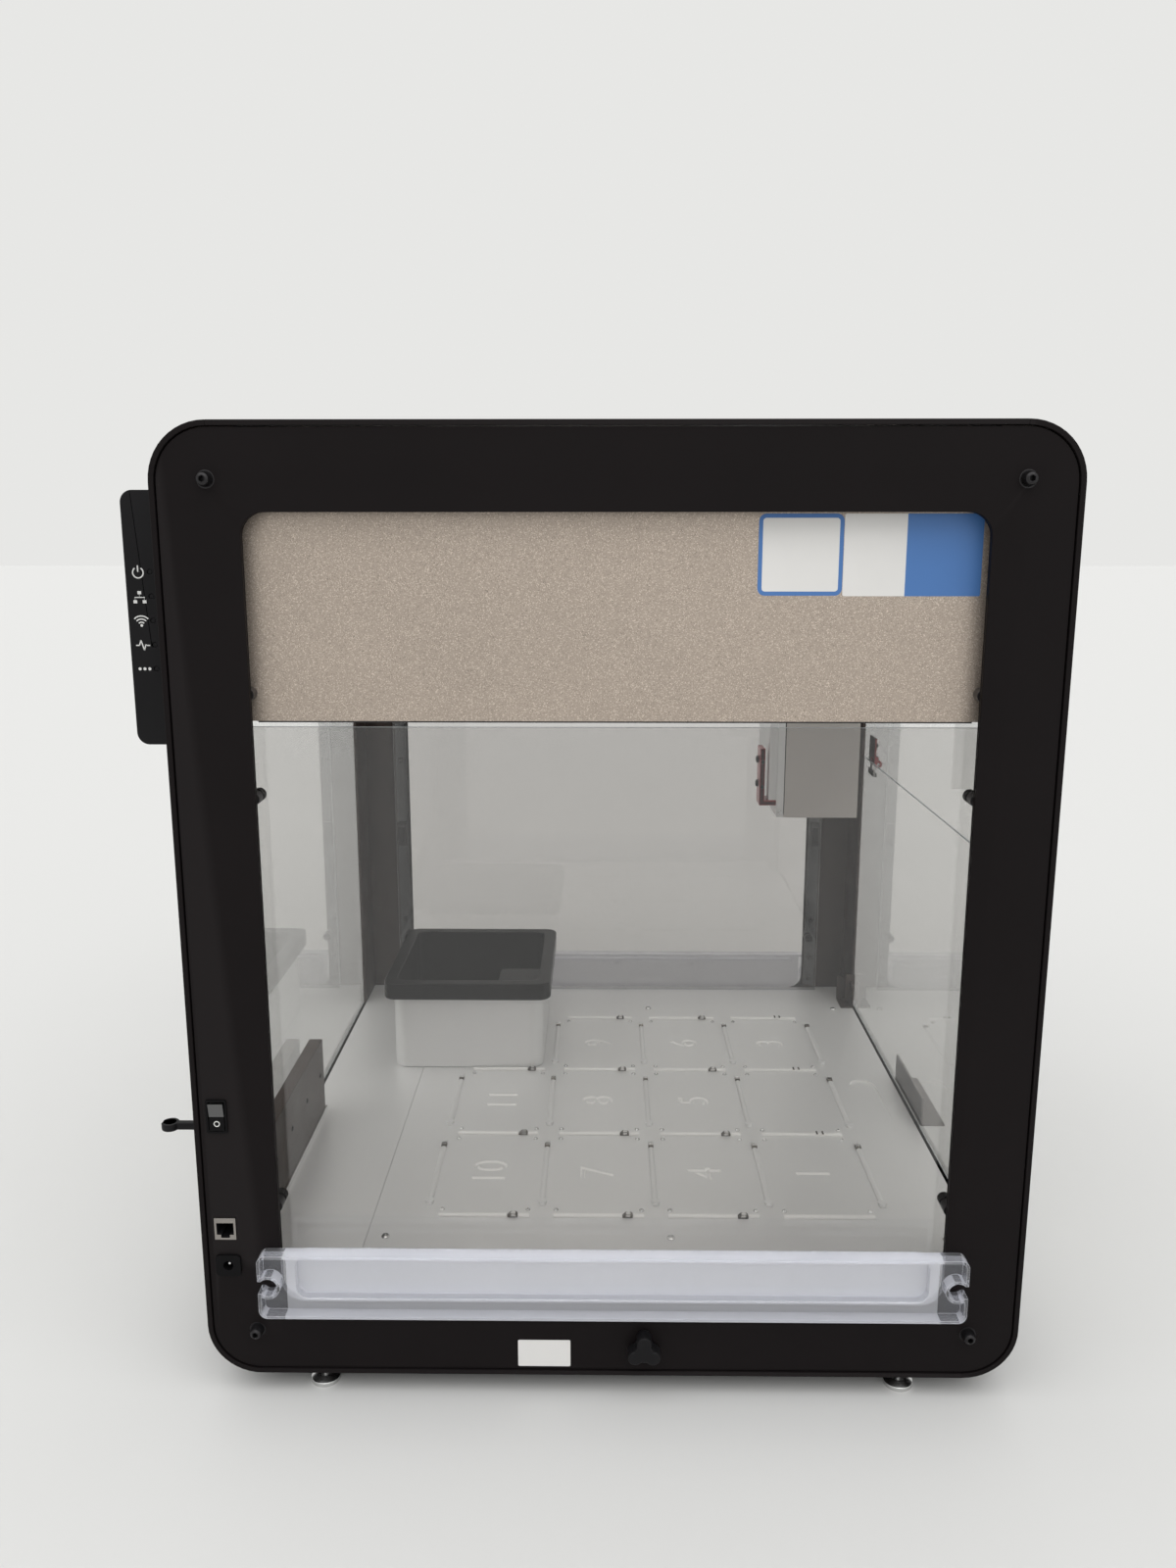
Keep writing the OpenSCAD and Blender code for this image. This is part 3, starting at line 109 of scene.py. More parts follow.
def box(name, lo, hi):
    """A block between two corners in millimetres."""
    lo, hi = Vector(lo) * MM, Vector(hi) * MM
    deselect()
    bpy.ops.mesh.primitive_cube_add(size=1, location=(lo + hi) / 2, scale=hi - lo)
    bpy.context.object.name = name
    return settle(bpy.context.object)


def rod(name, start, end, radius, sides=32):
    """A round bar between two points in millimetres."""
    start, end = Vector(start) * MM, Vector(end) * MM
    along = end - start
    deselect()
    bpy.ops.mesh.primitive_cylinder_add(
        vertices=sides, radius=radius * MM, depth=along.length, location=(start + end) / 2,
        rotation=along.to_track_quat("Z", "Y").to_euler(),
    )
    bpy.context.object.name = name
    return settle(bpy.context.object)


def edit(obj, kind=None):
    """Opens obj in edit mode, with all of it picked, or with nothing picked in a kind of selection."""
    choose(obj)
    bpy.ops.object.mode_set(mode="EDIT")
    if kind:
        bpy.ops.mesh.select_mode(type=kind)
    bpy.ops.mesh.select_all(action="DESELECT" if kind else "SELECT")
    return bmesh.from_edit_mesh(obj.data)


def pick_faces(obj, test):
    """Opens obj in edit mode with only the faces picked whose centre, in millimetres, and normal pass the test."""
    for f in edit(obj, "FACE").faces:
        f.select_set(bool(test(f.calc_center_median() / MM, f.normal)))
    bmesh.update_edit_mesh(obj.data)


def pick_edges(obj, test):
    """Opens obj in edit mode with only the edges picked whose two ends, in millimetres, pass the test."""
    for e in edit(obj, "EDGE").edges:
        e.select_set(bool(test(*[v.co / MM for v in e.verts])))
    bmesh.update_edit_mesh(obj.data)


def done():
    bpy.ops.object.mode_set(mode="OBJECT")


def modify(obj, kind, **settings):
    """Adds one modifier and applies it."""
    choose(obj)
    m = obj.modifiers.new(kind.title(), kind)
    for key, value in settings.items():
        setattr(m, key, value)
    bpy.ops.object.modifier_apply(modifier=m.name)
    return obj


def round_edges(obj, width, segments=2):
    if width <= 0:
        return obj
    return modify(
        obj, "BEVEL", width=width * MM, segments=segments, limit_method="ANGLE", angle_limit=math.radians(35),
        use_clamp_overlap=False,
    )


def remove(obj):
    bpy.data.objects.remove(obj)


def cut(obj, *cutters):
    for c in cutters:
        modify(obj, "BOOLEAN", operation="DIFFERENCE", solver="EXACT", object=c)
        remove(c)
    return obj


def join(name, *objects):
    choose(*objects)
    if len(objects) > 1:
        bpy.ops.object.join()
    bpy.context.object.name = name
    return bpy.context.object


def turned(name, steps, sides=32):
    """A turned piece that stands on the origin along Z, from its (radius, height) steps in millimetres."""
    deselect()
    bpy.ops.mesh.primitive_circle_add(vertices=sides, radius=steps[0][0] * MM, fill_type="NGON",
                                      location=(0, 0, steps[0][1] * MM))
    obj = settle(bpy.context.object)
    obj.name = name
    edit(obj)
    for (r0, z0), (r1, z1) in zip(steps, steps[1:]):
        bpy.ops.mesh.extrude_region_move(TRANSFORM_OT_translate={"value": (0, 0, (z1 - z0) * MM)})
        bpy.ops.transform.resize(value=(r1 / r0, r1 / r0, 1), center_override=(0, 0, z1 * MM))
    bpy.ops.mesh.select_all(action="SELECT")
    bpy.ops.mesh.normals_make_consistent(inside=False)
    done()
    return obj


def placed(obj, place, turn=None):
    """A copy of obj with its own mesh, turned so that its Z points along turn, at a place in millimetres."""
    choose(obj)
    bpy.ops.object.duplicate()
    copy = bpy.context.object
    spin = Vector(turn).to_track_quat("Z", "Y").to_matrix().to_4x4() if turn else Matrix.Identity(4)
    copy.matrix_world = Matrix.Translation(Vector(place) * MM) @ spin
    return settle(copy)


def scatter(name, master, places):
    """Joins copies of a master piece, one at each (place, turn), and removes the master."""
    made = [placed(master, *p) for p in places]
    remove(master)
    return join(name, *made)


def mirrored(x, y, heights, way):
    """Places on both sides and both ends at each height, that face outwards (way 1) or inwards (way -1)."""
    return [((s * x, e * y, z), (way * s, 0, 0)) for s in BOTH for e in BOTH for z in heights]


def button_head(radius, height, socket):
    """A round-topped screw head with a hexagonal socket, on the origin along Z."""
    head = turned("Screw_Head", [(radius, -0.2), (radius, height * 0.3), (radius * 0.93, height * 0.62),
                                 (radius * 0.78, height * 0.87), (radius * 0.5, height)], 28)
    return cut(head, rod("Socket", (0, 0, height * 0.35), (0, 0, height + 1), socket, 6))


def cross_head(radius, height):
    """A low screw head with a crossed recess, on the origin along Z."""
    head = turned("Screw_Head", [(radius, -0.2), (radius, height * 0.4), (radius * 0.7, height)], 24)
    arm, wide = radius * 0.5, radius * 0.13
    return cut(head, box("Slot", (-arm, -wide, height * 0.4), (arm, wide, height + 1)),
               box("Slot", (-wide, -arm, height * 0.4), (wide, arm, height + 1)))


def slice_at(obj, axis, *places):
    """Cuts edges into obj across an axis, so that parts of it can take another finish."""
    for p in places:
        edit(obj)
        bpy.ops.mesh.bisect(plane_co=AXES[axis] * p * MM, plane_no=AXES[axis])
        done()
    return obj


def span(node):
    """A node's lowest and highest corners in millimetres."""
    return [Vector(c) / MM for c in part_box(node)]


def merged(node, name):
    """A copy of a frame node with its triangles merged into clean faces."""
    obj = bpy.data.objects.new(name, NODES[node].data.copy())
    bpy.context.scene.collection.objects.link(obj)
    choose(obj)
    bpy.ops.mesh.customdata_custom_splitnormals_clear()
    edit(obj)
    bpy.ops.mesh.remove_doubles(threshold=2e-6)
    bpy.ops.mesh.dissolve_limited(angle_limit=math.radians(0.4))
    done()
    return obj


def smooth(obj, angle):
    choose(obj)
    bpy.ops.object.shade_smooth_by_angle(angle=math.radians(angle))
    return modify(obj, "WEIGHTED_NORMAL", keep_sharp=True, weight=60)


def paint(obj, *finishes, test=None):
    """Gives obj its finishes; test puts the second one on the faces that pass it."""
    obj.data.materials.clear()
    for f in finishes:
        obj.data.materials.append(FINISHES[f])
    for polygon in obj.data.polygons:
        polygon.material_index = int(bool(test and test(polygon.center / MM, polygon.normal)))
    return obj


def fit(obj, body, slot, *finishes, test=None, stands_for=(), angle=32):
    """Smooths, paints and mounts a new piece; an angle of 0 leaves it flat."""
    if angle:
        smooth(obj, angle)
    else:
        choose(obj)
        bpy.ops.object.shade_flat()
    paint(obj, *(finishes or (slot,)), test=test)
    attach(obj, body)
    if stands_for:
        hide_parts(*stands_for)
    return obj


def dress(node, edge=0.3, segments=2, finishes=(), test=None, shape=None, angle=32):
    """A smooth-edged copy of a node that stands for it, with its own finish."""
    slot = NODES[node].data.materials[0].name
    obj = merged(node, node.title())
    if shape:
        shape(obj)
    round_edges(obj, edge, segments)
    return fit(obj, NODES[node]["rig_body"], slot, *finishes, test=test, stands_for=[node], angle=angle)


# ---------------------------------------------------------------- materials

FINISHES = {}


def feed(tree, made, values):
    """Sets or links a node's inputs."""
    for key, value in values.items():
        if isinstance(value, bpy.types.NodeSocket):
            tree.links.new(value, made.inputs[key])
        else:
            made.inputs[key].default_value = value
    return made


def add(tree, kind, values=None, **settings):
    """A shader node with its inputs set or linked."""
    made = tree.nodes.new("ShaderNode" + kind)
    for key, value in settings.items():
        setattr(made, key, value)
    return feed(tree, made, values or {})


def group(name, inputs, outputs):
    """A new node group, with the sockets of its input and output nodes."""
    tree = bpy.data.node_groups.new(name, "ShaderNodeTree")
    for label, kind, default in inputs:
        socket = tree.interface.new_socket(name=label, in_out="INPUT", socket_type="NodeSocket" + kind)
        socket.default_value = default
    for label, kind in outputs:
        tree.interface.new_socket(name=label, in_out="OUTPUT", socket_type="NodeSocket" + kind)
    return tree, tree.nodes.new("NodeGroupInput").outputs, tree.nodes.new("NodeGroupOutput").inputs


def use(tree, group_name, values):
    """A node group with its inputs set or linked."""
    made = tree.nodes.new("ShaderNodeGroup")
    made.node_tree = bpy.data.node_groups[group_name]
    return feed(tree, made, values)


def make_groups():
    # Fine grain: two sizes of noise, as height and as a mask
    tree, i, o = group("Fine_Grain", [("Stretch", "Vector", (1, 1, 1)), ("Coarse", "Float", 0.3)],
                       [("Height", "Float"), ("Mask", "Float")])
    place = add(tree, "TexCoord").outputs["Object"]
    place = add(tree, "VectorMath", {0: place, 1: i["Stretch"]}, operation="MULTIPLY").outputs[0]
    fine = add(tree, "TexNoise", {"Vector": place, "Scale": 1.0, "Detail": 2.0})
    broad = add(tree, "TexNoise", {"Vector": place, "Scale": 0.17, "Detail": 1.0})
    mix = add(tree, "Mix", {0: i["Coarse"], 2: fine.outputs[0], 3: broad.outputs[0]})
    tree.links.new(mix.outputs[0], o["Height"])
    tree.links.new(fine.outputs[0], o["Mask"])

    # Handling: slow cloudy changes of tone and gloss over a surface
    tree, i, o = group("Handling", [("Colour", "Color", (1, 1, 1, 1)), ("Tone", "Float", 0.1), ("Gloss", "Float", 0.4),
                                    ("Spread", "Float", 0.1), ("Scale", "Float", 12.0)],
                       [("Colour", "Color"), ("Roughness", "Float")])
    place = add(tree, "TexCoord").outputs["Object"]
    cloud = add(tree, "TexNoise", {"Vector": place, "Scale": i["Scale"], "Detail": 4.0, "Roughness": 0.6}).outputs[0]
    swing = add(tree, "MapRange", {"Value": cloud, 1: 0.3, 2: 0.7, 3: -1.0, 4: 1.0}).outputs[0]
    tone = add(tree, "Math", {0: swing, 1: i["Tone"], 2: 1.0}, operation="MULTIPLY_ADD").outputs[0]
    colour = add(tree, "VectorMath", {0: i["Colour"], "Scale": tone}, operation="SCALE").outputs[0]
    gloss = add(tree, "Math", {0: swing, 1: i["Spread"], 2: i["Gloss"]}, operation="MULTIPLY_ADD", use_clamp=True)
    tree.links.new(colour, o["Colour"])
    tree.links.new(gloss.outputs[0], o["Roughness"])

    # Flakes: metal specks in a powder coat, as a mask and as a tone of their own
    tree, i, o = group("Flakes", [("Size", "Float", 0.6), ("Share", "Float", 0.3)],
                       [("Mask", "Float"), ("Tone", "Float")])
    place = add(tree, "TexCoord").outputs["Object"]
    density = add(tree, "Math", {0: 1000.0, 1: i["Size"]}, operation="DIVIDE").outputs[0]
    cells = add(tree, "TexVoronoi", {"Vector": place, "Scale": density})
    pick = add(tree, "SeparateColor", {0: cells.outputs["Color"]})
    mask = add(tree, "Math", {0: pick.outputs[0], 1: i["Share"]}, operation="LESS_THAN").outputs[0]
    tree.links.new(mask, o["Mask"])
    tree.links.new(pick.outputs[1], o["Tone"])

    # Painted edge highlight: a mask that rises where a surface bends sharply, to pale the colour there as a painted
    # sheen
    tree, i, o = group("Painted_Edge_Sheen", [("Colour", "Color", (1, 1, 1, 1)), ("Sheen_Colour", "Color", (1, 1, 1, 1)),
                                      ("Amount", "Float", 0.3)], [("Colour", "Color")])
    point = add(tree, "NewGeometry").outputs["Pointiness"]
    edge = add(tree, "MapRange", {"Value": point, 1: 0.52, 2: 0.60, 3: 0.0, 4: 1.0}).outputs[0]
    share = add(tree, "Math", {0: edge, 1: i["Amount"]}, operation="MULTIPLY", use_clamp=True).outputs[0]
    mix = add(tree, "Mix", {0: share, 6: i["Colour"], 7: i["Sheen_Colour"]}, data_type="RGBA")
    tree.links.new(mix.outputs[2], o["Colour"])

    # Teeth: even ribs along one direction, as a height
    tree, i, o = group("Teeth", [("Along", "Vector", (1, 1, 0)), ("Pitch", "Float", 2.0)], [("Height", "Float")])
    place = add(tree, "TexCoord").outputs["Object"]
    along = add(tree, "VectorMath", {0: place, 1: i["Along"]}, operation="DOT_PRODUCT").outputs["Value"]
    full_turn = 6283.2  # radians per metre at a pitch of one millimetre
    per_metre = add(tree, "Math", {0: full_turn, 1: i["Pitch"]}, operation="DIVIDE").outputs[0]
    turns = add(tree, "Math", {0: along, 1: per_metre}, operation="MULTIPLY").outputs[0]
    wave = add(tree, "Math", {0: turns}, operation="SINE").outputs[0]
    flat = add(tree, "MapRange", {"Value": wave, 1: -0.4, 2: 0.4, 3: 0.0, 4: 1.0}).outputs[0]
    tree.links.new(flat, o["Height"])


def solid(name, colour, rough, metal=0.0, grain=3000.0, stretch=(1, 1, 1), bump=0.1, depth=0.05, tone=0.06,
          spread=0.04, cloud=14.0, specular=0.5, coat=0.0, coarse=0.3, edge_sheen=0.0, ribs=None):
    """An opaque finish with grain in its relief, slow changes in its tone and gloss, and a painted highlight paling its
    sharp edges.
    """
    mat = bpy.data.materials.new(name)
    mat.use_nodes = True
    tree = mat.node_tree
    shader = tree.nodes["Principled BSDF"]
    grains = use(tree, "Fine_Grain", {"Stretch": tuple(grain * s for s in stretch), "Coarse": coarse})
    hand = use(tree, "Handling", {"Colour": (*colour, 1), "Tone": tone, "Gloss": rough, "Spread": spread,
                                  "Scale": cloud})
    shown = hand.outputs["Colour"]
    # Paler colour where the surface bends sharply: a painted edge highlight
    if edge_sheen:
        sheen_tint = tuple(min(1.0, c * 2.5 + 0.02) for c in colour)
        shown = use(tree, "Painted_Edge_Sheen", {"Colour": shown, "Sheen_Colour": (*sheen_tint, 1), "Amount": edge_sheen}).outputs["Colour"]
    relief = add(tree, "Bump", {"Strength": bump, "Distance": depth * MM, "Height": grains.outputs["Height"]})
    if ribs:
        teeth = use(tree, "Teeth", {"Pitch": ribs})
        relief = add(tree, "Bump", {"Strength": 0.9, "Distance": 0.4 * MM, "Height": teeth.outputs[0],
                                    "Normal": relief.outputs[0]})
    tree.links.new(shown, shader.inputs["Base Color"])
    tree.links.new(hand.outputs["Roughness"], shader.inputs["Roughness"])
    tree.links.new(relief.outputs[0], shader.inputs["Normal"])
    shader.inputs["Metallic"].default_value = metal
    shader.inputs["Specular IOR Level"].default_value = specular
    shader.inputs["Coat Weight"].default_value = coat
    shader.inputs["Coat Roughness"].default_value = 0.08
    FINISHES[name] = mat
    return mat


def clear(name, colour, rough, ior, through=1.0):
    """A clear plastic that lets the lamps through to what stands behind it."""
    mat = bpy.data.materials.new(name)
    mat.use_nodes = True
    tree = mat.node_tree
    shader = tree.nodes["Principled BSDF"]
    shader.inputs["Base Color"].default_value = (*colour, 1)
    shader.inputs["IOR"].default_value = ior
    shader.inputs["Specular IOR Level"].default_value = 0.15
    shader.inputs["Transmission Weight"].default_value = through
    film = use(tree, "Handling", {"Gloss": rough, "Spread": rough * 0.5, "Scale": 9.0})
    tree.links.new(film.outputs["Roughness"], shader.inputs["Roughness"])
    lets_through = add(tree, "BsdfTransparent", {"Color": (*(c * through for c in colour), 1)})
    path = add(tree, "LightPath")
    mix = add(tree, "MixShader", {0: path.outputs["Is Shadow Ray"], 1: shader.outputs[0], 2: lets_through.outputs[0]})
    tree.links.new(mix.outputs[0], tree.nodes["Material Output"].inputs["Surface"])
    FINISHES[name] = mat
    return mat


def champagne(name, colour, flake):
    """A metallic powder coat with bright and dark specks in it."""
    mat = solid(name, colour, 0.42, metal=0.6, grain=2000, bump=0.18, depth=0.05, tone=0.03, spread=0.05, coarse=0.3)
    tree = mat.node_tree
    shader = tree.nodes["Principled BSDF"]
    shown = shader.inputs["Base Color"].links[0].from_socket
    for size, share, tint in ((0.5, 0.22, flake), (0.42, 0.16, tuple(c * 0.55 for c in colour))):
        specks = use(tree, "Flakes", {"Size": size, "Share": share})
        lit = add(tree, "Mix", {0: specks.outputs["Tone"], 6: shown, 7: (*tint, 1)}, data_type="RGBA")
        shown = add(tree, "Mix", {0: specks.outputs["Mask"], 6: shown, 7: lit.outputs[2]}, data_type="RGBA").outputs[2]
    tree.links.new(shown, shader.inputs["Base Color"])
    return mat


# ---------------------------------------------------------------- sizes and colours


def colour_of(label, words, value):
    return FloatVectorProperty(name=label, description=words, subtype="COLOR", size=3, min=0, max=1, default=value)


def length_of(label, words, value):
    return FloatProperty(name=label, description=words, unit="LENGTH", min=0, default=value)


class RobotFinishes(bpy.types.PropertyGroup):
    """Colours of the robot's finishes"""

    black_powder: colour_of("Black powder", "Powder coat of the shell", (0.0074, 0.0058, 0.0060))
    champagne: colour_of("Champagne", "Powder coat of the upper panels", (0.385, 0.325, 0.272))
    champagne_flake: colour_of("Champagne flake", "Brightest specks in the upper panels", (0.64, 0.55, 0.47))
    smoked: colour_of("Smoked acrylic", "Tint of the side windows", (0.70, 0.69, 0.678))
    acrylic: colour_of("Acrylic", "Tint of the other windows", (0.93, 0.935, 0.925))
    acrylic_edge: colour_of("Acrylic edge", "Sawn edges of the windows", (0.62, 0.66, 0.68))
    moulding: colour_of("Clear moulding", "Tint of the clear side covers", (0.92, 0.93, 0.975))
    aluminium: colour_of("Aluminium", "Satin anodised deck", (0.80, 0.80, 0.80))
    dark_steel: colour_of("Dark steel", "Coated steel posts", (0.036, 0.025, 0.021))
    strip: colour_of("Strip", "Painted strip on the posts", (0.085, 0.090, 0.100))
    grey_paint: colour_of("Grey paint", "Painted plates of the head", (0.56, 0.525, 0.495))
    red_steel: colour_of("Red steel", "Transport bracket", (0.27, 0.022, 0.028))
    label_white: colour_of("Label white", "Blank labels", (0.72, 0.71, 0.69))
    label_blue: colour_of("Label blue", "Coloured part of the blank labels", (0.055, 0.165, 0.42))
    mark: colour_of("Mark", "Printed symbols", (0.74, 0.74, 0.72))
    gold: colour_of("Gold", "Contacts of the network socket", (0.80, 0.52, 0.20))


class RobotStage(bpy.types.PropertyGroup):
    """Floor, lamps and camera"""

    floor: colour_of("Floor", "Colour of the floor and the backdrop", (0.67, 0.67, 0.657))
    wall: colour_of("Wall", "Colour seen beyond the floor", (0.80, 0.80, 0.785))
    sky: FloatProperty(name="Sky", description="Strength of the even light from all round", default=0.5, min=0)
    lens: FloatProperty(name="Lens", description="Focal length of the camera", default=27.34, min=10, max=100)
    tilt: FloatProperty(name="Tilt", description="How far the camera looks down", subtype="ANGLE", default=0.2004)
    pan: FloatProperty(name="Pan", description="Turn of the camera from the X axis", subtype="ANGLE", default=0.0116)


class RobotDetails(bpy.types.PropertyGroup):
    """Sizes of the fine detail"""

    number_size: length_of("Number size", "Type size of the numbers in the deck", 0.040)
    number_depth: length_of("Number depth", "Depth of the engraved numbers", 0.0012)
    pin_radius: length_of("Pin radius", "Radius of the pins at the slots' corners", 0.0017)
    label_thickness: length_of("Label thickness", "Thickness of the blank labels", 0.00015)
    knurls: IntProperty(name="Knurls", description="Grooves round a thumb screw", default=24, min=8, max=48)
    lamps: IntProperty(name="Lamps", description="Lamp chips under the lamp bar", default=28, min=4, max=60)


# ---------------------------------------------------------------- operators


class ROBOT_OT_finishes(bpy.types.Operator):
    """Make every material and the node groups that they share"""

    bl_idname = "robot.finishes"
    bl_label = "Finishes"

    def execute(self, context):
        c = context.scene.robot_finishes
        make_groups()
        solid("black_powder", c.black_powder, 0.5, grain=2600, bump=0.2, depth=0.05, tone=0.08, spread=0.04,
              specular=0.07, edge_sheen=0.2)
        champagne("champagne_powder", c.champagne, c.champagne_flake)
        clear("smoked_acrylic", c.smoked, 0.0, 1.49)
        clear("clear_acrylic", c.acrylic, 0.0, 1.49)
        clear("acrylic_edge", c.acrylic_edge, 0.35, 1.49, 0.35)
        clear("clear_moulding", c.moulding, 0.05, 1.5, 0.70)
        clear("clear_ends", c.moulding, 0.02, 1.3, 0.90)
        solid("satin_aluminium", c.aluminium, 0.42, metal=0.4, grain=2200, stretch=(0.25, 1, 1), bump=0.05,
              tone=0.02, spread=0.03, cloud=6)
        # Pale flat aluminium used as a painted highlight on the engraved walls and on the guide bars that run along Y
        solid("glint_aluminium", (0.92, 0.915, 0.90), 0.3, grain=1800, bump=0.05, tone=0.02)
        solid("plated_steel", (0.30, 0.28, 0.26), 0.3, metal=1.0, grain=2500, bump=0.06, tone=0.1)
        solid("glazed_black", (0.008, 0.008, 0.0085), 0.12, grain=900, bump=0.02, tone=0.05, specular=1.0, coat=1.0)
        solid("bright_aluminium", (0.86, 0.86, 0.85), 0.2, metal=1.0, grain=1800, stretch=(0.2, 1, 1), bump=0.05,
              tone=0.02)
        solid("dark_steel", c.dark_steel, 0.4, metal=0.3, grain=1400, stretch=(1, 1, 0.06), bump=0.12, tone=0.2,
              spread=0.07, cloud=20, edge_sheen=0.3)
        solid("strip_paint", c.strip, 0.42, metal=0.3, grain=1800, bump=0.12, tone=0.12, edge_sheen=0.3)
        solid("black_plastic", (0.010, 0.0096, 0.0104), 0.42, grain=2400, bump=0.14, tone=0.1, specular=0.1, edge_sheen=0.15)
        solid("gloss_black", (0.006, 0.0058, 0.0062), 0.2, grain=900, bump=0.03, tone=0.1, spread=0.05, specular=0.06)
        solid("black_oxide", (0.016, 0.015, 0.016), 0.32, metal=0.7, grain=3000, bump=0.08, tone=0.15, edge_sheen=0.4)
        solid("spring_steel", (0.12, 0.105, 0.09), 0.28, metal=1.0, grain=3000, bump=0.08, tone=0.15)
        solid("bright_steel", (0.66, 0.66, 0.655), 0.2, metal=1.0, grain=2500, bump=0.05, tone=0.05, spread=0.06)
        solid("belt_rubber", (0.014, 0.014, 0.015), 0.62, grain=2500, bump=0.25, tone=0.12, ribs=2.0)
        solid("motor_black", (0.018, 0.018, 0.019), 0.42, metal=0.2, grain=2000, stretch=(0.3, 0.3, 2), bump=0.2,
              tone=0.1)
        solid("grey_paint", c.grey_paint, 0.4, grain=2600, bump=0.16, tone=0.04, edge_sheen=0.15)
        solid("red_steel", c.red_steel, 0.3, metal=0.3, grain=2400, bump=0.14, tone=0.12, coat=0.3, edge_sheen=0.2)
        solid("lamp_diffuser", (0.80, 0.81, 0.79), 0.35, grain=1500, bump=0.05, tone=0.02)
        solid("label_white", c.label_white, 0.45, grain=900, bump=0.04, tone=0.03)
        solid("label_blue", c.label_blue, 0.45, grain=900, bump=0.04, tone=0.03)
        solid("mark", c.mark, 0.5, grain=900, bump=0.04, tone=0.04)
        solid("gold", c.gold, 0.22, metal=1.0, grain=3000, bump=0.05, tone=0.05)
        return {"FINISHED"}


class ROBOT_OT_shell(bpy.types.Operator):
    """Shell and side frames"""

    bl_idname = "robot.shell"
    bl_label = "Shell"

    def execute(self, context):
        for node in ("base_pan", "top_cover", "front_frame", "rear_frame", "left_side_frame", "right_side_frame",
                     "opening_lips"):
            dress(node, 0.4, 3)
        lo, hi = span("frame_screws")
        face, radius = -span("left_side_frame")[0].x, 4.7
        ends = [s * (hi.y - radius) for s in BOTH]
        spots = [(s, y, z) for s in BOTH for y in ends for z in (lo.z + radius, hi.z - radius)]
        places = [((s * face, y, z), (s, 0, 0)) for s, y, z in spots]
        heads = scatter("Frame_Screws", button_head(radius, hi.x - face, 2.0), places)
        shanks = [rod("Shank", (s * (face - 7), y, z), (s * face, y, z), 2.5, 20) for s, y, z in spots]
        fit(join("Frame_Screws", heads, *shanks), "chassis", "black_oxide", stands_for=["frame_screws"])
        ring = cut(turned("Ring", [(5.6, 0), (5.6, 0.12), (5.3, 0.22)]), rod("Hole", (0, 0, -1), (0, 0, 1), 4.85))
        fit(scatter("Screw_Rings", ring, places), "chassis", "dark_steel", "black_oxide")
        return {"FINISHED"}


def label(name, y0, y1, z0, z1, x, r, thick):
    """A blank label with rounded corners on a face that looks along -X."""
    plate = box(name, (x - thick, y0, z0), (x + 0.01, y1, z1))
    pick_edges(plate, lambda a, b: abs(a.x - b.x) > thick / 2)
    bpy.ops.mesh.bevel(offset=r * MM, segments=5)
    done()
    return plate


class ROBOT_OT_panels(bpy.types.Operator):
    """Painted upper panels and the blank labels"""

    bl_idname = "robot.panels"
    bl_label = "Panels"

    def execute(self, context):
        for node in ("front_panel", "rear_panel", "side_panels"):
            dress(node, 0.3)
        # Dark strip along the lower edge of each side panel: painted shadow for the shade under the panel's edge
        foot = span("side_panels")[0].z
        shadow_strips = []
        for s in BOTH:
            near, far = sorted((s * 287.6, s * 288.9))
            shadow_strips.append(round_edges(box("Shadow_Strip", (near, -230, foot - 0.9), (far, 230, foot + 0.1)), 0.2))
        fit(join("Panel_Shadow_Strips", *shadow_strips), "chassis", "dark_steel", "black_oxide")
        t = context.scene.robot_details.label_thickness / MM
        x = span("side_panels")[0].x
        badge = label("Square_Label", -143.0, -89.9, 562.3, 612.8, x, 4.5, t)
        pick_faces(badge, lambda c, n: n.x < -0.9)
        bpy.ops.mesh.inset(thickness=2.6 * MM)
        done()
        fit(badge, "chassis", "champagne_powder", "label_blue", "label_white",
            test=lambda c, n: n.x < -0.9 and abs(c.y + 116.4) < 22 and abs(c.z - 587.5) < 21)
        card = label("Card_Label", -229.8, -143.3, 562.0, 612.8, x, 1.2, t)
        border = -182.3
        slice_at(card, "y", border)
        fit(card, "chassis", "champagne_powder", "label_white", "label_blue", test=lambda c, n: c.y < border)
        tag = label("Rail_Label", 29.0, 66.0, 22.5, 43.3, span("left_side_frame")[0].x, 1.0, t)
        fit(tag, "chassis", "black_powder", "label_white")
        return {"FINISHED"}


def knurled(radius, height, grooves):
    """A thumb screw head with a grooved edge and a coin slot, on the origin along Z."""
    head = turned("Thumb", [(radius - 0.6, 0), (radius, 0.6), (radius, height - 0.6), (radius - 0.6, height),
                            (radius * 0.6, height), (radius * 0.55, height - 0.6)], grooves * 2)
    step = math.pi / grooves
    pick_faces(head, lambda c, n: abs(c.z - height / 2) < 0.5 and abs(n.z) < 0.1
               and int(math.atan2(c.y, c.x) // step) % 2 == 0)
    bpy.ops.mesh.inset(thickness=0.12 * MM, depth=-0.35 * MM, use_individual=True)
    done()
    return cut(head, box("Slot", (-radius * 0.5, -0.6, height - 1.6), (radius * 0.5, 0.6, height + 1)))


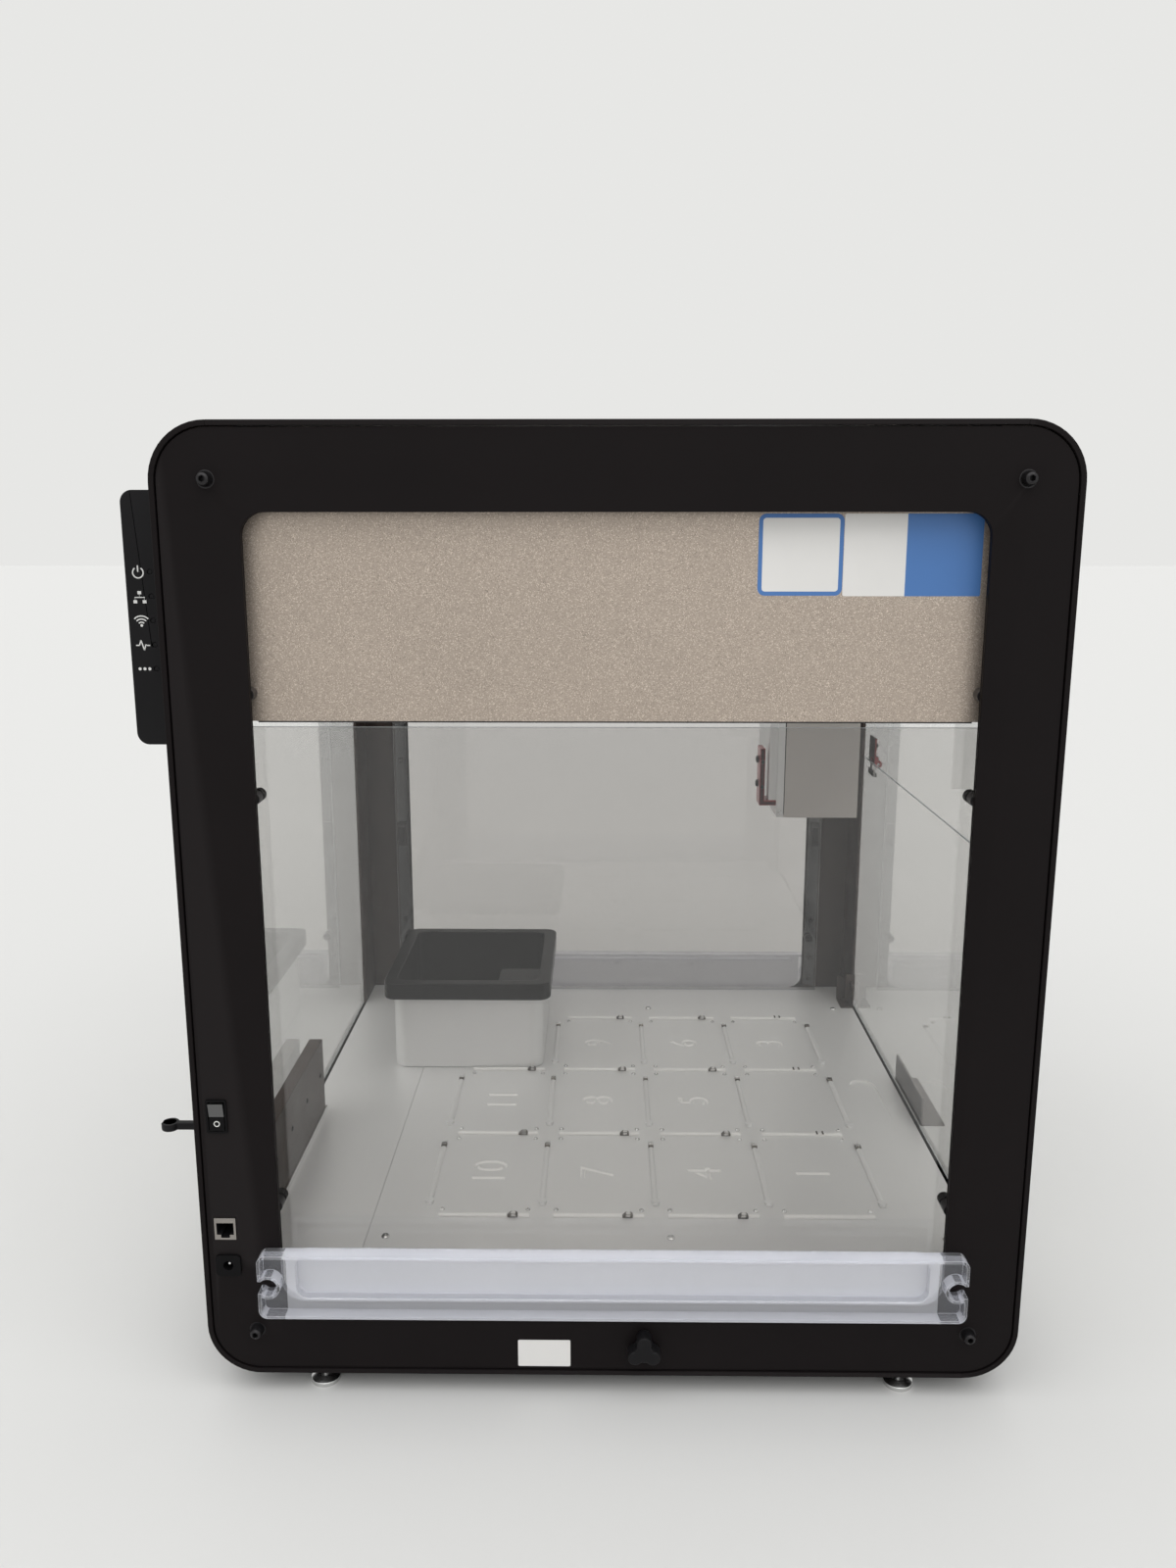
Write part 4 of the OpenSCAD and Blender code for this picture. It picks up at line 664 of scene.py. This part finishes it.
class ROBOT_OT_windows(bpy.types.Operator):
    """Clear windows, the screws that hold them and the moulded side covers"""

    bl_idname = "robot.windows"
    bl_label = "Windows"

    def execute(self, context):
        for node, axis in (("front_window", 1), ("rear_window", 1), ("side_windows", 0), ("top_window", 2),
                           ("door_pane", 1)):
            pane = "smoked_acrylic" if node == "side_windows" else "clear_acrylic"
            dress(node, 0, finishes=(pane, "acrylic_edge"), test=lambda c, n: abs(n[axis]) < 0.5)
        end = 227
        dress("side_covers", 0.35, finishes=("clear_moulding", "clear_ends"),
              shape=lambda obj: slice_at(obj, "y", -end, end),
              test=lambda c, n: abs(c.y) > end and max(map(abs, n)) > 0.95)
        pane = span("side_windows")[1].x - 3.0
        y, low, high = span("window_screws")[1].y - 8, (142, 432), (500, 610)
        thumb = knurled(4.4, pane - 279, context.scene.robot_details.knurls)
        thumbs = scatter("Thumb_Screws", thumb, mirrored(pane, y, low, -1))
        buttons = scatter("Panel_Screws", button_head(3.1, 2.4, 1.6), mirrored(287.5, y, high, -1))
        stand = turned("Stand", [(4.2, 0), (4.5, 0.3), (4.5, 8.7), (4.2, 9)], 24)
        stands = scatter("Stands", stand, mirrored(289, y, low + high, 1))
        fit(join("Window_Screws", thumbs, buttons, stands), "chassis", "black_oxide", stands_for=["window_screws"])
        return {"FINISHED"}


def slot_centres():
    """The middle of each of the eleven slots in millimetres, in the order of their numbers."""
    return [((n % ROW - 1) * SLOT_X, FRONT_ROW + n // ROW * SLOT_Y) for n in range(SLOTS)]


def numeral(text, x, y, z, size, depth):
    """A cutter in the shape of a number that reads from the front."""
    deselect()
    bpy.ops.object.text_add(location=(0, 0, 0))
    obj = bpy.context.object
    obj.data.body = text
    obj.data.size = size
    obj.data.align_x, obj.data.align_y = "CENTER", "CENTER"
    obj.data.extrude = depth * 0.15
    obj.data.bevel_depth = depth
    obj.data.bevel_resolution = 0
    obj.data.offset = -depth * 0.7
    obj.data.resolution_u = 4
    bpy.ops.object.convert(target="MESH")
    obj = bpy.context.object
    obj.location = (x * MM, y * MM, z * MM)
    edit(settle(obj))
    bpy.ops.mesh.remove_doubles(threshold=1e-6)
    bpy.ops.mesh.normals_make_consistent(inside=False)
    done()
    return obj


class ROBOT_OT_deck(bpy.types.Operator):
    """Deck with its engraved numbers, guides, clips, pins and screws"""

    bl_idname = "robot.deck"
    bl_label = "Deck"

    def execute(self, context):
        d = context.scene.robot_details
        top = span("slot_guides")[0].z

        def engrave(obj):
            # Edges between the slots keep each number in a face of its own
            slice_at(slice_at(obj, "x", -66, 66), "y", -226, -126, -36, 54)
            figures = [numeral(str(n + 1), x, y, top, d.number_size, d.number_depth)
                       for n, (x, y) in enumerate(slot_centres())]
            figures = join("Figures", *figures)
            modify(obj, "BOOLEAN", operation="DIFFERENCE", solver="EXACT", object=figures, use_self=True)
            remove(figures)

        def glinting_faces(c, n):
            """Sloping faces of the finger pocket and of the numbers, which take a pale finish as a painted highlight.
            """
            pocket = c.y < -230 and abs(c.x) < 60
            return abs(n.z) < 0.95 and c.z < top - 0.02 and (
                pocket or any(abs(c.x - x) < 25 and abs(c.y - y) < 25 for x, y in slot_centres()))

        # The sloping faces of the numbers and the pocket get a paler finish: painted highlight standing for the glints
        # along their walls
        dress("deck_plates", 0, finishes=("satin_aluminium", "glint_aluminium"), shape=engrave, test=glinting_faces, angle=0)
        # Guide bars that run along Y take a paler finish on all their faces: painted highlight standing for the light
        # they catch
        dress("slot_guides", 0.35, finishes=("satin_aluminium", "glint_aluminium"),
              test=lambda c, n: abs((c.x / SLOT_X) % 1 - 0.5) < 0.05)
        # Upward faces of the clips take a bright finish: a painted highlight on their tops, with their sides left dark
        dress("slot_clips", 0.1, finishes=("spring_steel", "bright_aluminium"), test=lambda c, n: n.z > 0.9)
        clip_y, clip_half = -187.5, 2.6
        spots = [(x * SLOT_X, clip_y + e * clip_half, top + 2.3) for x in (-0.5, 0.5, 1.5) for e in BOTH]
        leaf = round_edges(box("Leaf", (-2.4, -0.8, 0), (2.4, 0.8, 0.9)), 0.2)
        fit(scatter("Near_Clips", leaf, [(s,) for s in spots]), "chassis", "dark_steel", "spring_steel")
        pin = turned("Pin", [(2.1, 0), (2.1, 0.3), (d.pin_radius / MM, 0.5), (d.pin_radius / MM, 1.0), (0.9, 1.5)], 14)
        pin_x, pin_y = 57.4, 34
        spots = [(x + a * pin_x, y + b * pin_y, top) for x, y in slot_centres() for a in BOTH for b in BOTH]
        fit(scatter("Slot_Pins", pin, [(s,) for s in spots]), "chassis", "bright_steel")
        screw_x = 228
        spots = [(s * screw_x, y, top) for s in BOTH for y in (-255, -45.7)] + [(-screw_x, 172, top)]
        screws = scatter("Deck_Screws", cross_head(3.2, 1.6), [(s,) for s in spots])
        fit(screws, "chassis", "bright_steel", stands_for=["deck_screws"])
        lo, hi = span("rear_cover")
        dress("rear_cover", 0.5)
        foot = box("Cover_Foot", (lo.x, lo.y - 2.2, top), (hi.x, lo.y, top + 4.5))
        round_edges(foot, 0.5)
        screws = scatter("Foot_Screws", cross_head(2.4, 0.9), [((lo.x + 15 + i * 50, lo.y - 0.1, top + 40), (0, -1, 0))
                                                               for i in range(5)])
        fit(foot, "chassis", "satin_aluminium", "bright_aluminium")
        fit(screws, "chassis", "black_oxide")
        return {"FINISHED"}


class ROBOT_OT_trash(bpy.types.Operator):
    """Trash housing and its bin"""

    bl_idname = "robot.trash"
    bl_label = "Trash"

    def execute(self, context):
        dress("trash_housing", 2.2, 5)
        dress("trash_bin", 1.4, 4, finishes=("gloss_black", "black_plastic"),
              test=lambda c, n: n.z > 0.9 and c.z < 166)
        return {"FINISHED"}


class ROBOT_OT_posts(bpy.types.Operator):
    """Corner posts, their strips, bolts and plugs, and the foot angle"""

    bl_idname = "robot.posts"
    bl_label = "Posts"

    def execute(self, context):
        foot = round_edges(box("Foot_Angle", (243.5, -284, 80), (246.5, -272, 112)), 0.4)
        fit(foot, "chassis", "dark_steel")
        strip, y = 296, 238.6
        dress("corner_posts", 0.4, finishes=("dark_steel", "strip_paint"),
              test=lambda c, n: abs(abs(c.x) - strip) < 0.3 and abs(n.x) > 0.9)
        spots = mirrored(strip, y, (88, 114, 160, 350, 470, 560), -1)
        fit(scatter("Strip_Bolts", button_head(3.1, 1.8, 1.3), spots), "chassis", "black_oxide")
        plugs = []
        for s in BOTH:
            for e in BOTH:
                body = box("Plug", (s * 290, e * (y - 5), 250), (s * strip, e * (y + 5), 278))
                round_edges(body, 0.8)
                lip = box("Plug", (s * 288.5, e * (y - 3.4), 255), (s * 290.5, e * (y + 3.4), 273))
                plugs += [body, round_edges(lip, 0.5)]
        fit(join("Post_Plugs", *plugs), "chassis", "black_plastic")
        return {"FINISHED"}


class ROBOT_OT_gantry(bpy.types.Operator):
    """Beams, rails, belts, pulleys, motors and the lamp bar"""

    bl_idname = "robot.gantry"
    bl_label = "Gantry"

    def execute(self, context):
        rail, beam_top = 272, 600.2
        along = [FIRST_BORE + BORE_PITCH * i for i in range(BORES)]

        def y_rails(obj):
            slice_at(obj, "z", beam_top)
            bores = [rod("Bore", (s * rail, y, 605.2), (s * rail, y, 609), BORE_RADIUS, 16)
                     for s in BOTH for y in along]
            cut(obj, join("Bores", *bores))

        dress("y_beams", 0.25, finishes=("satin_aluminium", "bright_steel"), shape=y_rails,
              test=lambda c, n: c.z > beam_top and abs(abs(c.x) - rail) < 5.2 and c.z < 607.3)
        face = span("x_beam")[0].y

        def x_rail(obj):
            bores = [rod("Bore", (x, -150, 576), (x, -139.4, 576), BORE_RADIUS, 16) for x in along]
            cut(obj, join("Bores", *bores))

        dress("x_beam", 0.25, finishes=("satin_aluminium", "bright_steel"), shape=x_rail,
              test=lambda c, n: c.y < face + 6.9)
        dress("gantry_ends", 0.4)
        for node in ("y_belts", "x_belt"):
            dress(node, 0)
        for node in ("y_drive_shaft", "y_idlers", "x_drive_pulley", "x_idler_pulley"):
            dress(node, 0.25)
        for node, axis, caps in (("y_motor", "x", 9), ("x_motor", "z", 6), ("z_motors", "z", 8)):
            lo, hi = span(node)
            k = "xyz".index(axis)
            ends = (lo[k] + caps, hi[k] - caps)
            dress(node, 0.9, 2, finishes=("motor_black", "satin_aluminium"),
                  shape=lambda obj: slice_at(obj, axis, *ends), test=lambda c, n: not ends[0] < c[k] < ends[1])
        lo, hi = span("z_motors")
        half = 15.5
        spots = [((x + a * half, (lo.y + hi.y) / 2 + b * half, hi.z), None) for x in (lo.x + 21, hi.x - 21)
                 for a in BOTH for b in BOTH]
        fit(scatter("Motor_Screws", cross_head(2.4, 1.2), spots), "head", "black_oxide")
        lo, hi = span("light_bar")
        dress("light_bar", 0.4)
        count = context.scene.robot_details.lamps
        step = (hi.x - lo.x - 20) / (count - 1)
        chip = box("Chip", (-2.5, -1.5, -0.3), (2.5, 1.5, 0.1))
        round_edges(chip, 0.2, 1)
        spots = [((lo.x + 10 + i * step, (lo.y + hi.y) / 2, lo.z), None) for i in range(count)]
        chips = scatter("Lamp_Chips", chip, spots)
        fit(chips, "chassis", "lamp_diffuser", "mark")
        spots = [((s * x, y, 628), None) for s in BOTH for x in (30, 120, 210, 250) for y in (-270.5, 270.5)]
        fit(scatter("Member_Screws", button_head(3.2, 2.0, 1.4), spots), "chassis", "black_oxide")
        return {"FINISHED"}


class ROBOT_OT_head(bpy.types.Operator):
    """Head with its plates, bracket, lead screws, stages and plungers"""

    bl_idname = "robot.head"
    bl_label = "Head"

    def execute(self, context):
        lo, hi = span("head_side_plates")
        bar = 6
        dress("head_plate", 0.3)
        dress("head_side_plates", 0.35, finishes=("grey_paint", "satin_aluminium"),
              shape=lambda obj: slice_at(obj, "y", hi.y - bar), test=lambda c, n: c.y > hi.y - bar)
        spots = [((x, y, z), (s, 0, 0)) for s, x in ((-1, lo.x), (1, hi.x)) for y, z in (
            (hi.y - 12, 450), (hi.y - 12, 540), (lo.y + 8, hi.z - 8), (hi.y - 12, hi.z - 8))]
        fit(scatter("Plate_Screws", button_head(2.6, 1.3, 1.1), spots), "head", "dark_steel", "black_oxide")
        seam = rod("Plate_Seam", (lo.x, hi.y - 6.4, lo.z + 3), (lo.x, hi.y - 6.4, hi.z - 3), 0.4, 12)
        fit(seam, "head", "dark_steel", "black_oxide")
        bolt = scatter("Plate_Bolt", button_head(1.7, 1.2, 0.7), [((lo.x, hi.y - 3, lo.z + 5), (-1, 0, 0))])
        fit(bolt, "head", "bright_steel")
        dress("transport_bracket", 0.4)
        lo, hi = span("transport_bracket")
        spots = [((14, hi.y, lo.z + h), (0, 1, 0)) for h in (18, 40)]
        flange = box("Bracket_Flange", (0, hi.y - 4.5, lo.z), (3, hi.y, hi.z))
        sill = box("Bracket_Sill", (0, -149, lo.z), (3, hi.y - 4, lo.z + 4))
        fit(join("Bracket_Flange", round_edges(flange, 0.6), round_edges(sill, 0.6)), "head", "red_steel")
        bolts = scatter("Flange_Bolts", button_head(1.7, 1.0, 0.8),
                        [((0, hi.y - 2.3, lo.z + h), (-1, 0, 0)) for h in (17, 40)])
        fit(bolts, "head", "black_oxide")
        fit(scatter("Bracket_Bolts", button_head(3.4, 2.2, 1.5), spots), "head", "black_oxide")
        for side in ("left", "right"):
            lo, hi = span(side + "_lead_screw")
            r = (hi.x - lo.x) / 2
            x, y = (lo.x + hi.x) / 2, (lo.y + hi.y) / 2
            rings = int((hi.z - lo.z - 20) / 2)
            steps = [(r * 0.8, 0), (r, 0.6), (r, 5)]
            for i in range(rings):
                z = 6 + i * 2
                steps += [(r, z), (r * 0.82, z + 0.5), (r * 0.82, z + 1.0), (r, z + 1.5)]
            steps += [(r, hi.z - lo.z - 0.6), (r * 0.8, hi.z - lo.z)]
            screw = scatter(side.title() + "_Lead_Screw", turned("Screw", steps, 16), [((x, y, lo.z), None)])
            fit(screw, side + "_screw", "bright_steel", stands_for=[side + "_lead_screw"], angle=50)
            dress(side + "_z_stage", 0.35)
            dress(side + "_plunger", 0.3)
            near, far = span(side + "_plunger")
            x, plate = (near.x + far.x) / 2, -178
            lo, hi = span(side + "_z_stage")
            spots = [((x + a * 19, plate, z), (0, -1, 0)) for a in BOTH for z in (lo.z + 6, lo.z + 90, hi.z - 50)]
            screws = scatter(side.title() + "_Stage_Screws", button_head(2.4, 1.4, 1.0), spots)
            fit(screws, side + "_stage", "black_oxide")
        return {"FINISHED"}


class ROBOT_OT_door(bpy.types.Operator):
    """Front door with its handle and hinges"""

    bl_idname = "robot.door"
    bl_label = "Door"

    def execute(self, context):
        pin_z, pin_reach = 363.5, 5.2
        dress("upper_hinge_leaves", 0.25, finishes=("dark_steel", "red_steel"),
              test=lambda c, n: c.z < pin_z + pin_reach)
        dress("lower_hinge_leaves", 0.25)
        dress("door_handle", 0.6, 3, finishes=("dark_steel", "strip_paint"), test=lambda c, n: c.x > 47)
        for body, name, z in (("chassis", "Upper", 384), ("door", "Lower", 352)):
            spots = [((s * 214 + a * 13, -286.5, z), (0, -1, 0)) for s in BOTH for a in BOTH]
            fit(scatter(name + "_Hinge_Screws", button_head(2.4, 1.2, 1.0), spots), body, "black_oxide")
        return {"FINISHED"}


def stroke(name, x, p, q, width, thick):
    """A flat bar between two (y, z) points on a face that looks along -X."""
    p, q = Vector((0, *p)), Vector((0, *q))
    along = q - p
    bar = box(name, (-thick, -width / 2, -along.length / 2), (thick * 0.3, width / 2, along.length / 2))
    turn = Vector((0, 0, 1)).rotation_difference(along.normalized())
    bar.matrix_world = Matrix.Translation((Vector((x, 0, 0)) + (p + q) / 2) * MM) @ turn.to_matrix().to_4x4()
    return settle(bar)


def arc(name, x, centre, radius, start, sweep, width, thick):
    """A flat curved bar round a (y, z) centre on a face that looks along -X; angles go from +Y towards +Z."""
    a = math.radians(start)
    cy, cz = centre
    end = box(name, (-thick, -width / 2, -0.01), (thick * 0.3, width / 2, 0.01))
    out = Vector((0, math.cos(a), math.sin(a)))
    end.matrix_world = (Matrix.Translation((Vector((x, cy, cz)) + out * radius) * MM)
                        @ Matrix.Rotation(a, 4, "X"))
    settle(end)
    tangent = Vector((0, -math.sin(a), math.cos(a)))
    pick_faces(end, lambda c, n: n.dot(tangent) > 0.9)
    bpy.ops.mesh.spin(steps=max(4, int(sweep / 12)), angle=-math.radians(sweep), center=(x * MM, cy * MM, cz * MM),
                      axis=(1, 0, 0))
    bpy.ops.mesh.select_all(action="SELECT")
    bpy.ops.mesh.remove_doubles(threshold=1e-7)
    bpy.ops.mesh.normals_make_consistent(inside=False)
    done()
    return end


class ROBOT_OT_hub(bpy.types.Operator):
    """Status hub with its printed symbols"""

    bl_idname = "robot.hub"
    bl_label = "Hub"

    def execute(self, context):
        dress("status_hub", 0.5, 2, angle=20)
        x, y, t = span("status_hub")[0].x, 306.5, 0.12
        z = 576.6  # power
        marks = [arc("Mark", x, (y, z - 0.4), 3.4, -235, 290, 0.8, t), stroke("Mark", x, (y, z), (y, z + 4.2), 0.8, t)]
        z = 560.4  # network
        for dy, dz in ((0, 3.0), (-3.0, -2.8), (3.0, -2.8)):
            marks.append(stroke("Mark", x, (y + dy - 1.2, z + dz), (y + dy + 1.2, z + dz), 2.0, t))
        marks += [stroke("Mark", x, (y, z + 2), (y, z), 0.6, t), stroke("Mark", x, (y - 3.3, z), (y + 3.3, z), 0.6, t)]
        marks += [stroke("Mark", x, (y + s * 3, z), (y + s * 3, z - 2), 0.6, t) for s in BOTH]
        z = 545.3  # wireless
        marks += [arc("Mark", x, (y, z - 3.2), r, 45, 90, 0.8, t) for r in (2.4, 4.4, 6.4)]
        marks.append(arc("Mark", x, (y, z - 2.9), 0.45, 0, 360, 0.9, t))
        z = 529.5  # activity
        path = [(4.6, 0), (2.4, 0), (1.2, 3.4), (-0.6, -3.2), (-1.8, 0.6), (-2.4, 0), (-4.6, 0)]
        marks += [stroke("Mark", x, (y + a[0], z + a[1]), (y + b[0], z + b[1]), 0.7, t) for a, b in zip(path, path[1:])]
        z = 514.2  # three dots
        marks += [arc("Mark", x, (y + dy, z), 0.5, 0, 360, 1.0, t) for dy in (-3.2, 0, 3.2)]
        fit(join("Hub_Marks", *marks), "chassis", "black_plastic", "mark")
        return {"FINISHED"}


class ROBOT_OT_controls(bpy.types.Operator):
    """Switch, sockets, cable hook, knob, button and feet"""

    bl_idname = "robot.controls"
    bl_label = "Controls"

    def execute(self, context):
        dress("switch_bezel", 0.35, finishes=("gloss_black",))
        dress("switch_rocker", 0.3, finishes=("gloss_black", "glazed_black"), test=lambda c, n: c.z > 214)
        lo, hi = span("network_socket")
        cy, cz = (lo.y + hi.y) / 2, (lo.z + hi.z) / 2
        dress("network_socket", 0.2, finishes=("plated_steel", "black_plastic"),
              test=lambda c, n: c.x > lo.x + 0.4 and abs(c.y - cy) < 6.1 and abs(c.z - cz) < 7.0)
        contacts = []
        for i in range(8):
            y = cy - 4.2 + i * 1.2
            contacts.append(box("Contact", (lo.x + 3, y - 0.25, cz + 2.6), (lo.x + 15, y + 0.25, cz + 3.2)))
        for c in contacts:
            round_edges(c, 0.1, 1)
        fit(join("Network_Contacts", *contacts), "chassis", "bright_steel", "gold")
        lo, hi = span("power_socket")
        py, pz = (lo.y + hi.y) / 2, (lo.z + hi.z) / 2
        dress("power_socket", 0.4, finishes=("gloss_black", "bright_steel"),
              test=lambda c, n: math.hypot(c.y - py, c.z - pz) < 1.2 and c.x > lo.x + 1.5)
        dress("cable_hook", 0.6, 3)
        dress("lobe_knob", 1.2, 3, finishes=("black_plastic",))
        dress("status_button", 0.4)
        dress("levelling_feet", 0.3)
        x, y, z = -305.25, 268.9, 213.0
        fit(join("Rocker_Mark", arc("Mark", x, (y, z - 5.2), 1.8, 0, 360, 0.6, 0.1)), "rocker", "gloss_black", "mark")
        return {"FINISHED"}


def backdrop(name, colour):
    """Paint of the floor."""
    mat = bpy.data.materials.new(name)
    mat.use_nodes = True
    shader = mat.node_tree.nodes["Principled BSDF"]
    shader.inputs["Base Color"].default_value = (*colour, 1)
    shader.inputs["Roughness"].default_value = 0.7
    return mat


def sun(name, towards, spread, strength):
    """Even light that travels in one direction, with soft shadows."""
    light = bpy.data.lights.new(name, "SUN")
    light.angle = math.radians(spread)
    light.energy = strength
    obj = bpy.data.objects.new(name, light)
    bpy.context.scene.collection.objects.link(obj)
    obj.rotation_euler = Vector(towards).to_track_quat("-Z", "Y").to_euler()
    return obj


class ROBOT_OT_stage(bpy.types.Operator):
    """Plain floor, soft lamps and the camera"""

    bl_idname = "robot.stage"
    bl_label = "Stage"

    def execute(self, context):
        s = context.scene.robot_stage
        deselect()
        bpy.ops.mesh.primitive_plane_add(size=60, location=(0, 0, 0))
        floor = context.object
        floor.name = "Floor"
        floor.data.materials.append(backdrop("Floor_Paint", s.floor))

        world = bpy.data.worlds.new("Studio")
        context.scene.world = world
        world.use_nodes = True
        tree = world.node_tree
        tree.nodes.clear()
        sky = add(tree, "Background", {"Color": (1, 1, 1, 1), "Strength": s.sky})
        seen = add(tree, "Background", {"Color": (*s.wall, 1), "Strength": 1.0})
        path = add(tree, "LightPath")
        either = add(tree, "Math", {0: path.outputs["Is Camera Ray"], 1: path.outputs["Is Transmission Ray"]},
                     operation="MAXIMUM")
        either = add(tree, "Math", {0: either.outputs[0], 1: path.outputs["Is Glossy Ray"]}, operation="MAXIMUM")
        mix = add(tree, "MixShader", {0: either.outputs[0], 1: sky.outputs[0], 2: seen.outputs[0]})
        tree.links.new(mix.outputs[0], add(tree, "OutputWorld").inputs[0])

        sun("Sun_Top", (0.25, -0.1, -1), 90, 2.0)
        sun("Sun_Front", (1.0, 0.6, -0.5), 90, 0.75)

        theta, pan = s.tilt, s.pan
        forward = Vector((math.cos(theta) * math.cos(pan), math.cos(theta) * math.sin(pan), -math.sin(theta)))
        camera = bpy.data.objects.new("Camera", bpy.data.cameras.new("Camera"))
        context.scene.collection.objects.link(camera)
        camera.data.lens = s.lens
        camera.data.sensor_width = 36
        camera.data.clip_start, camera.data.clip_end = 0.02, 60
        camera.location = CAMERA
        camera.rotation_euler = forward.to_track_quat("-Z", "Y").to_euler()
        context.scene.camera = camera
        context.scene.view_settings.view_transform = "Standard"
        return {"FINISHED"}


GROUPS = (RobotFinishes, RobotStage, RobotDetails)
STEPS = (ROBOT_OT_finishes, ROBOT_OT_shell, ROBOT_OT_panels, ROBOT_OT_windows, ROBOT_OT_deck, ROBOT_OT_trash,
         ROBOT_OT_posts, ROBOT_OT_gantry, ROBOT_OT_head, ROBOT_OT_door, ROBOT_OT_hub, ROBOT_OT_controls, ROBOT_OT_stage)


class ROBOT_PT_panel(bpy.types.Panel):
    """Sidebar panel that lists the building steps"""

    bl_idname = "ROBOT_PT_panel"
    bl_label = "Robot"
    bl_space_type = "VIEW_3D"
    bl_region_type = "UI"
    bl_category = "Robot"

    def draw(self, context):
        for step in STEPS:
            self.layout.operator(step.bl_idname)


def register():
    for c in (*GROUPS, *STEPS, ROBOT_PT_panel):
        bpy.utils.register_class(c)
    bpy.types.Scene.robot_finishes = PointerProperty(type=RobotFinishes)
    bpy.types.Scene.robot_stage = PointerProperty(type=RobotStage)
    bpy.types.Scene.robot_details = PointerProperty(type=RobotDetails)


def unregister():
    for name in ("robot_finishes", "robot_stage", "robot_details"):
        delattr(bpy.types.Scene, name)
    for c in reversed((*GROUPS, *STEPS, ROBOT_PT_panel)):
        bpy.utils.unregister_class(c)


def main():
    register()
    for step in STEPS:
        getattr(bpy.ops.robot, step.bl_idname.split(".")[1])()
    left = [n for n, o in NODES.items() if not o.hide_render]
    if left:
        raise RuntimeError(f"nodes without a finished piece: {left}")


if __name__ == "__main__":
    main()
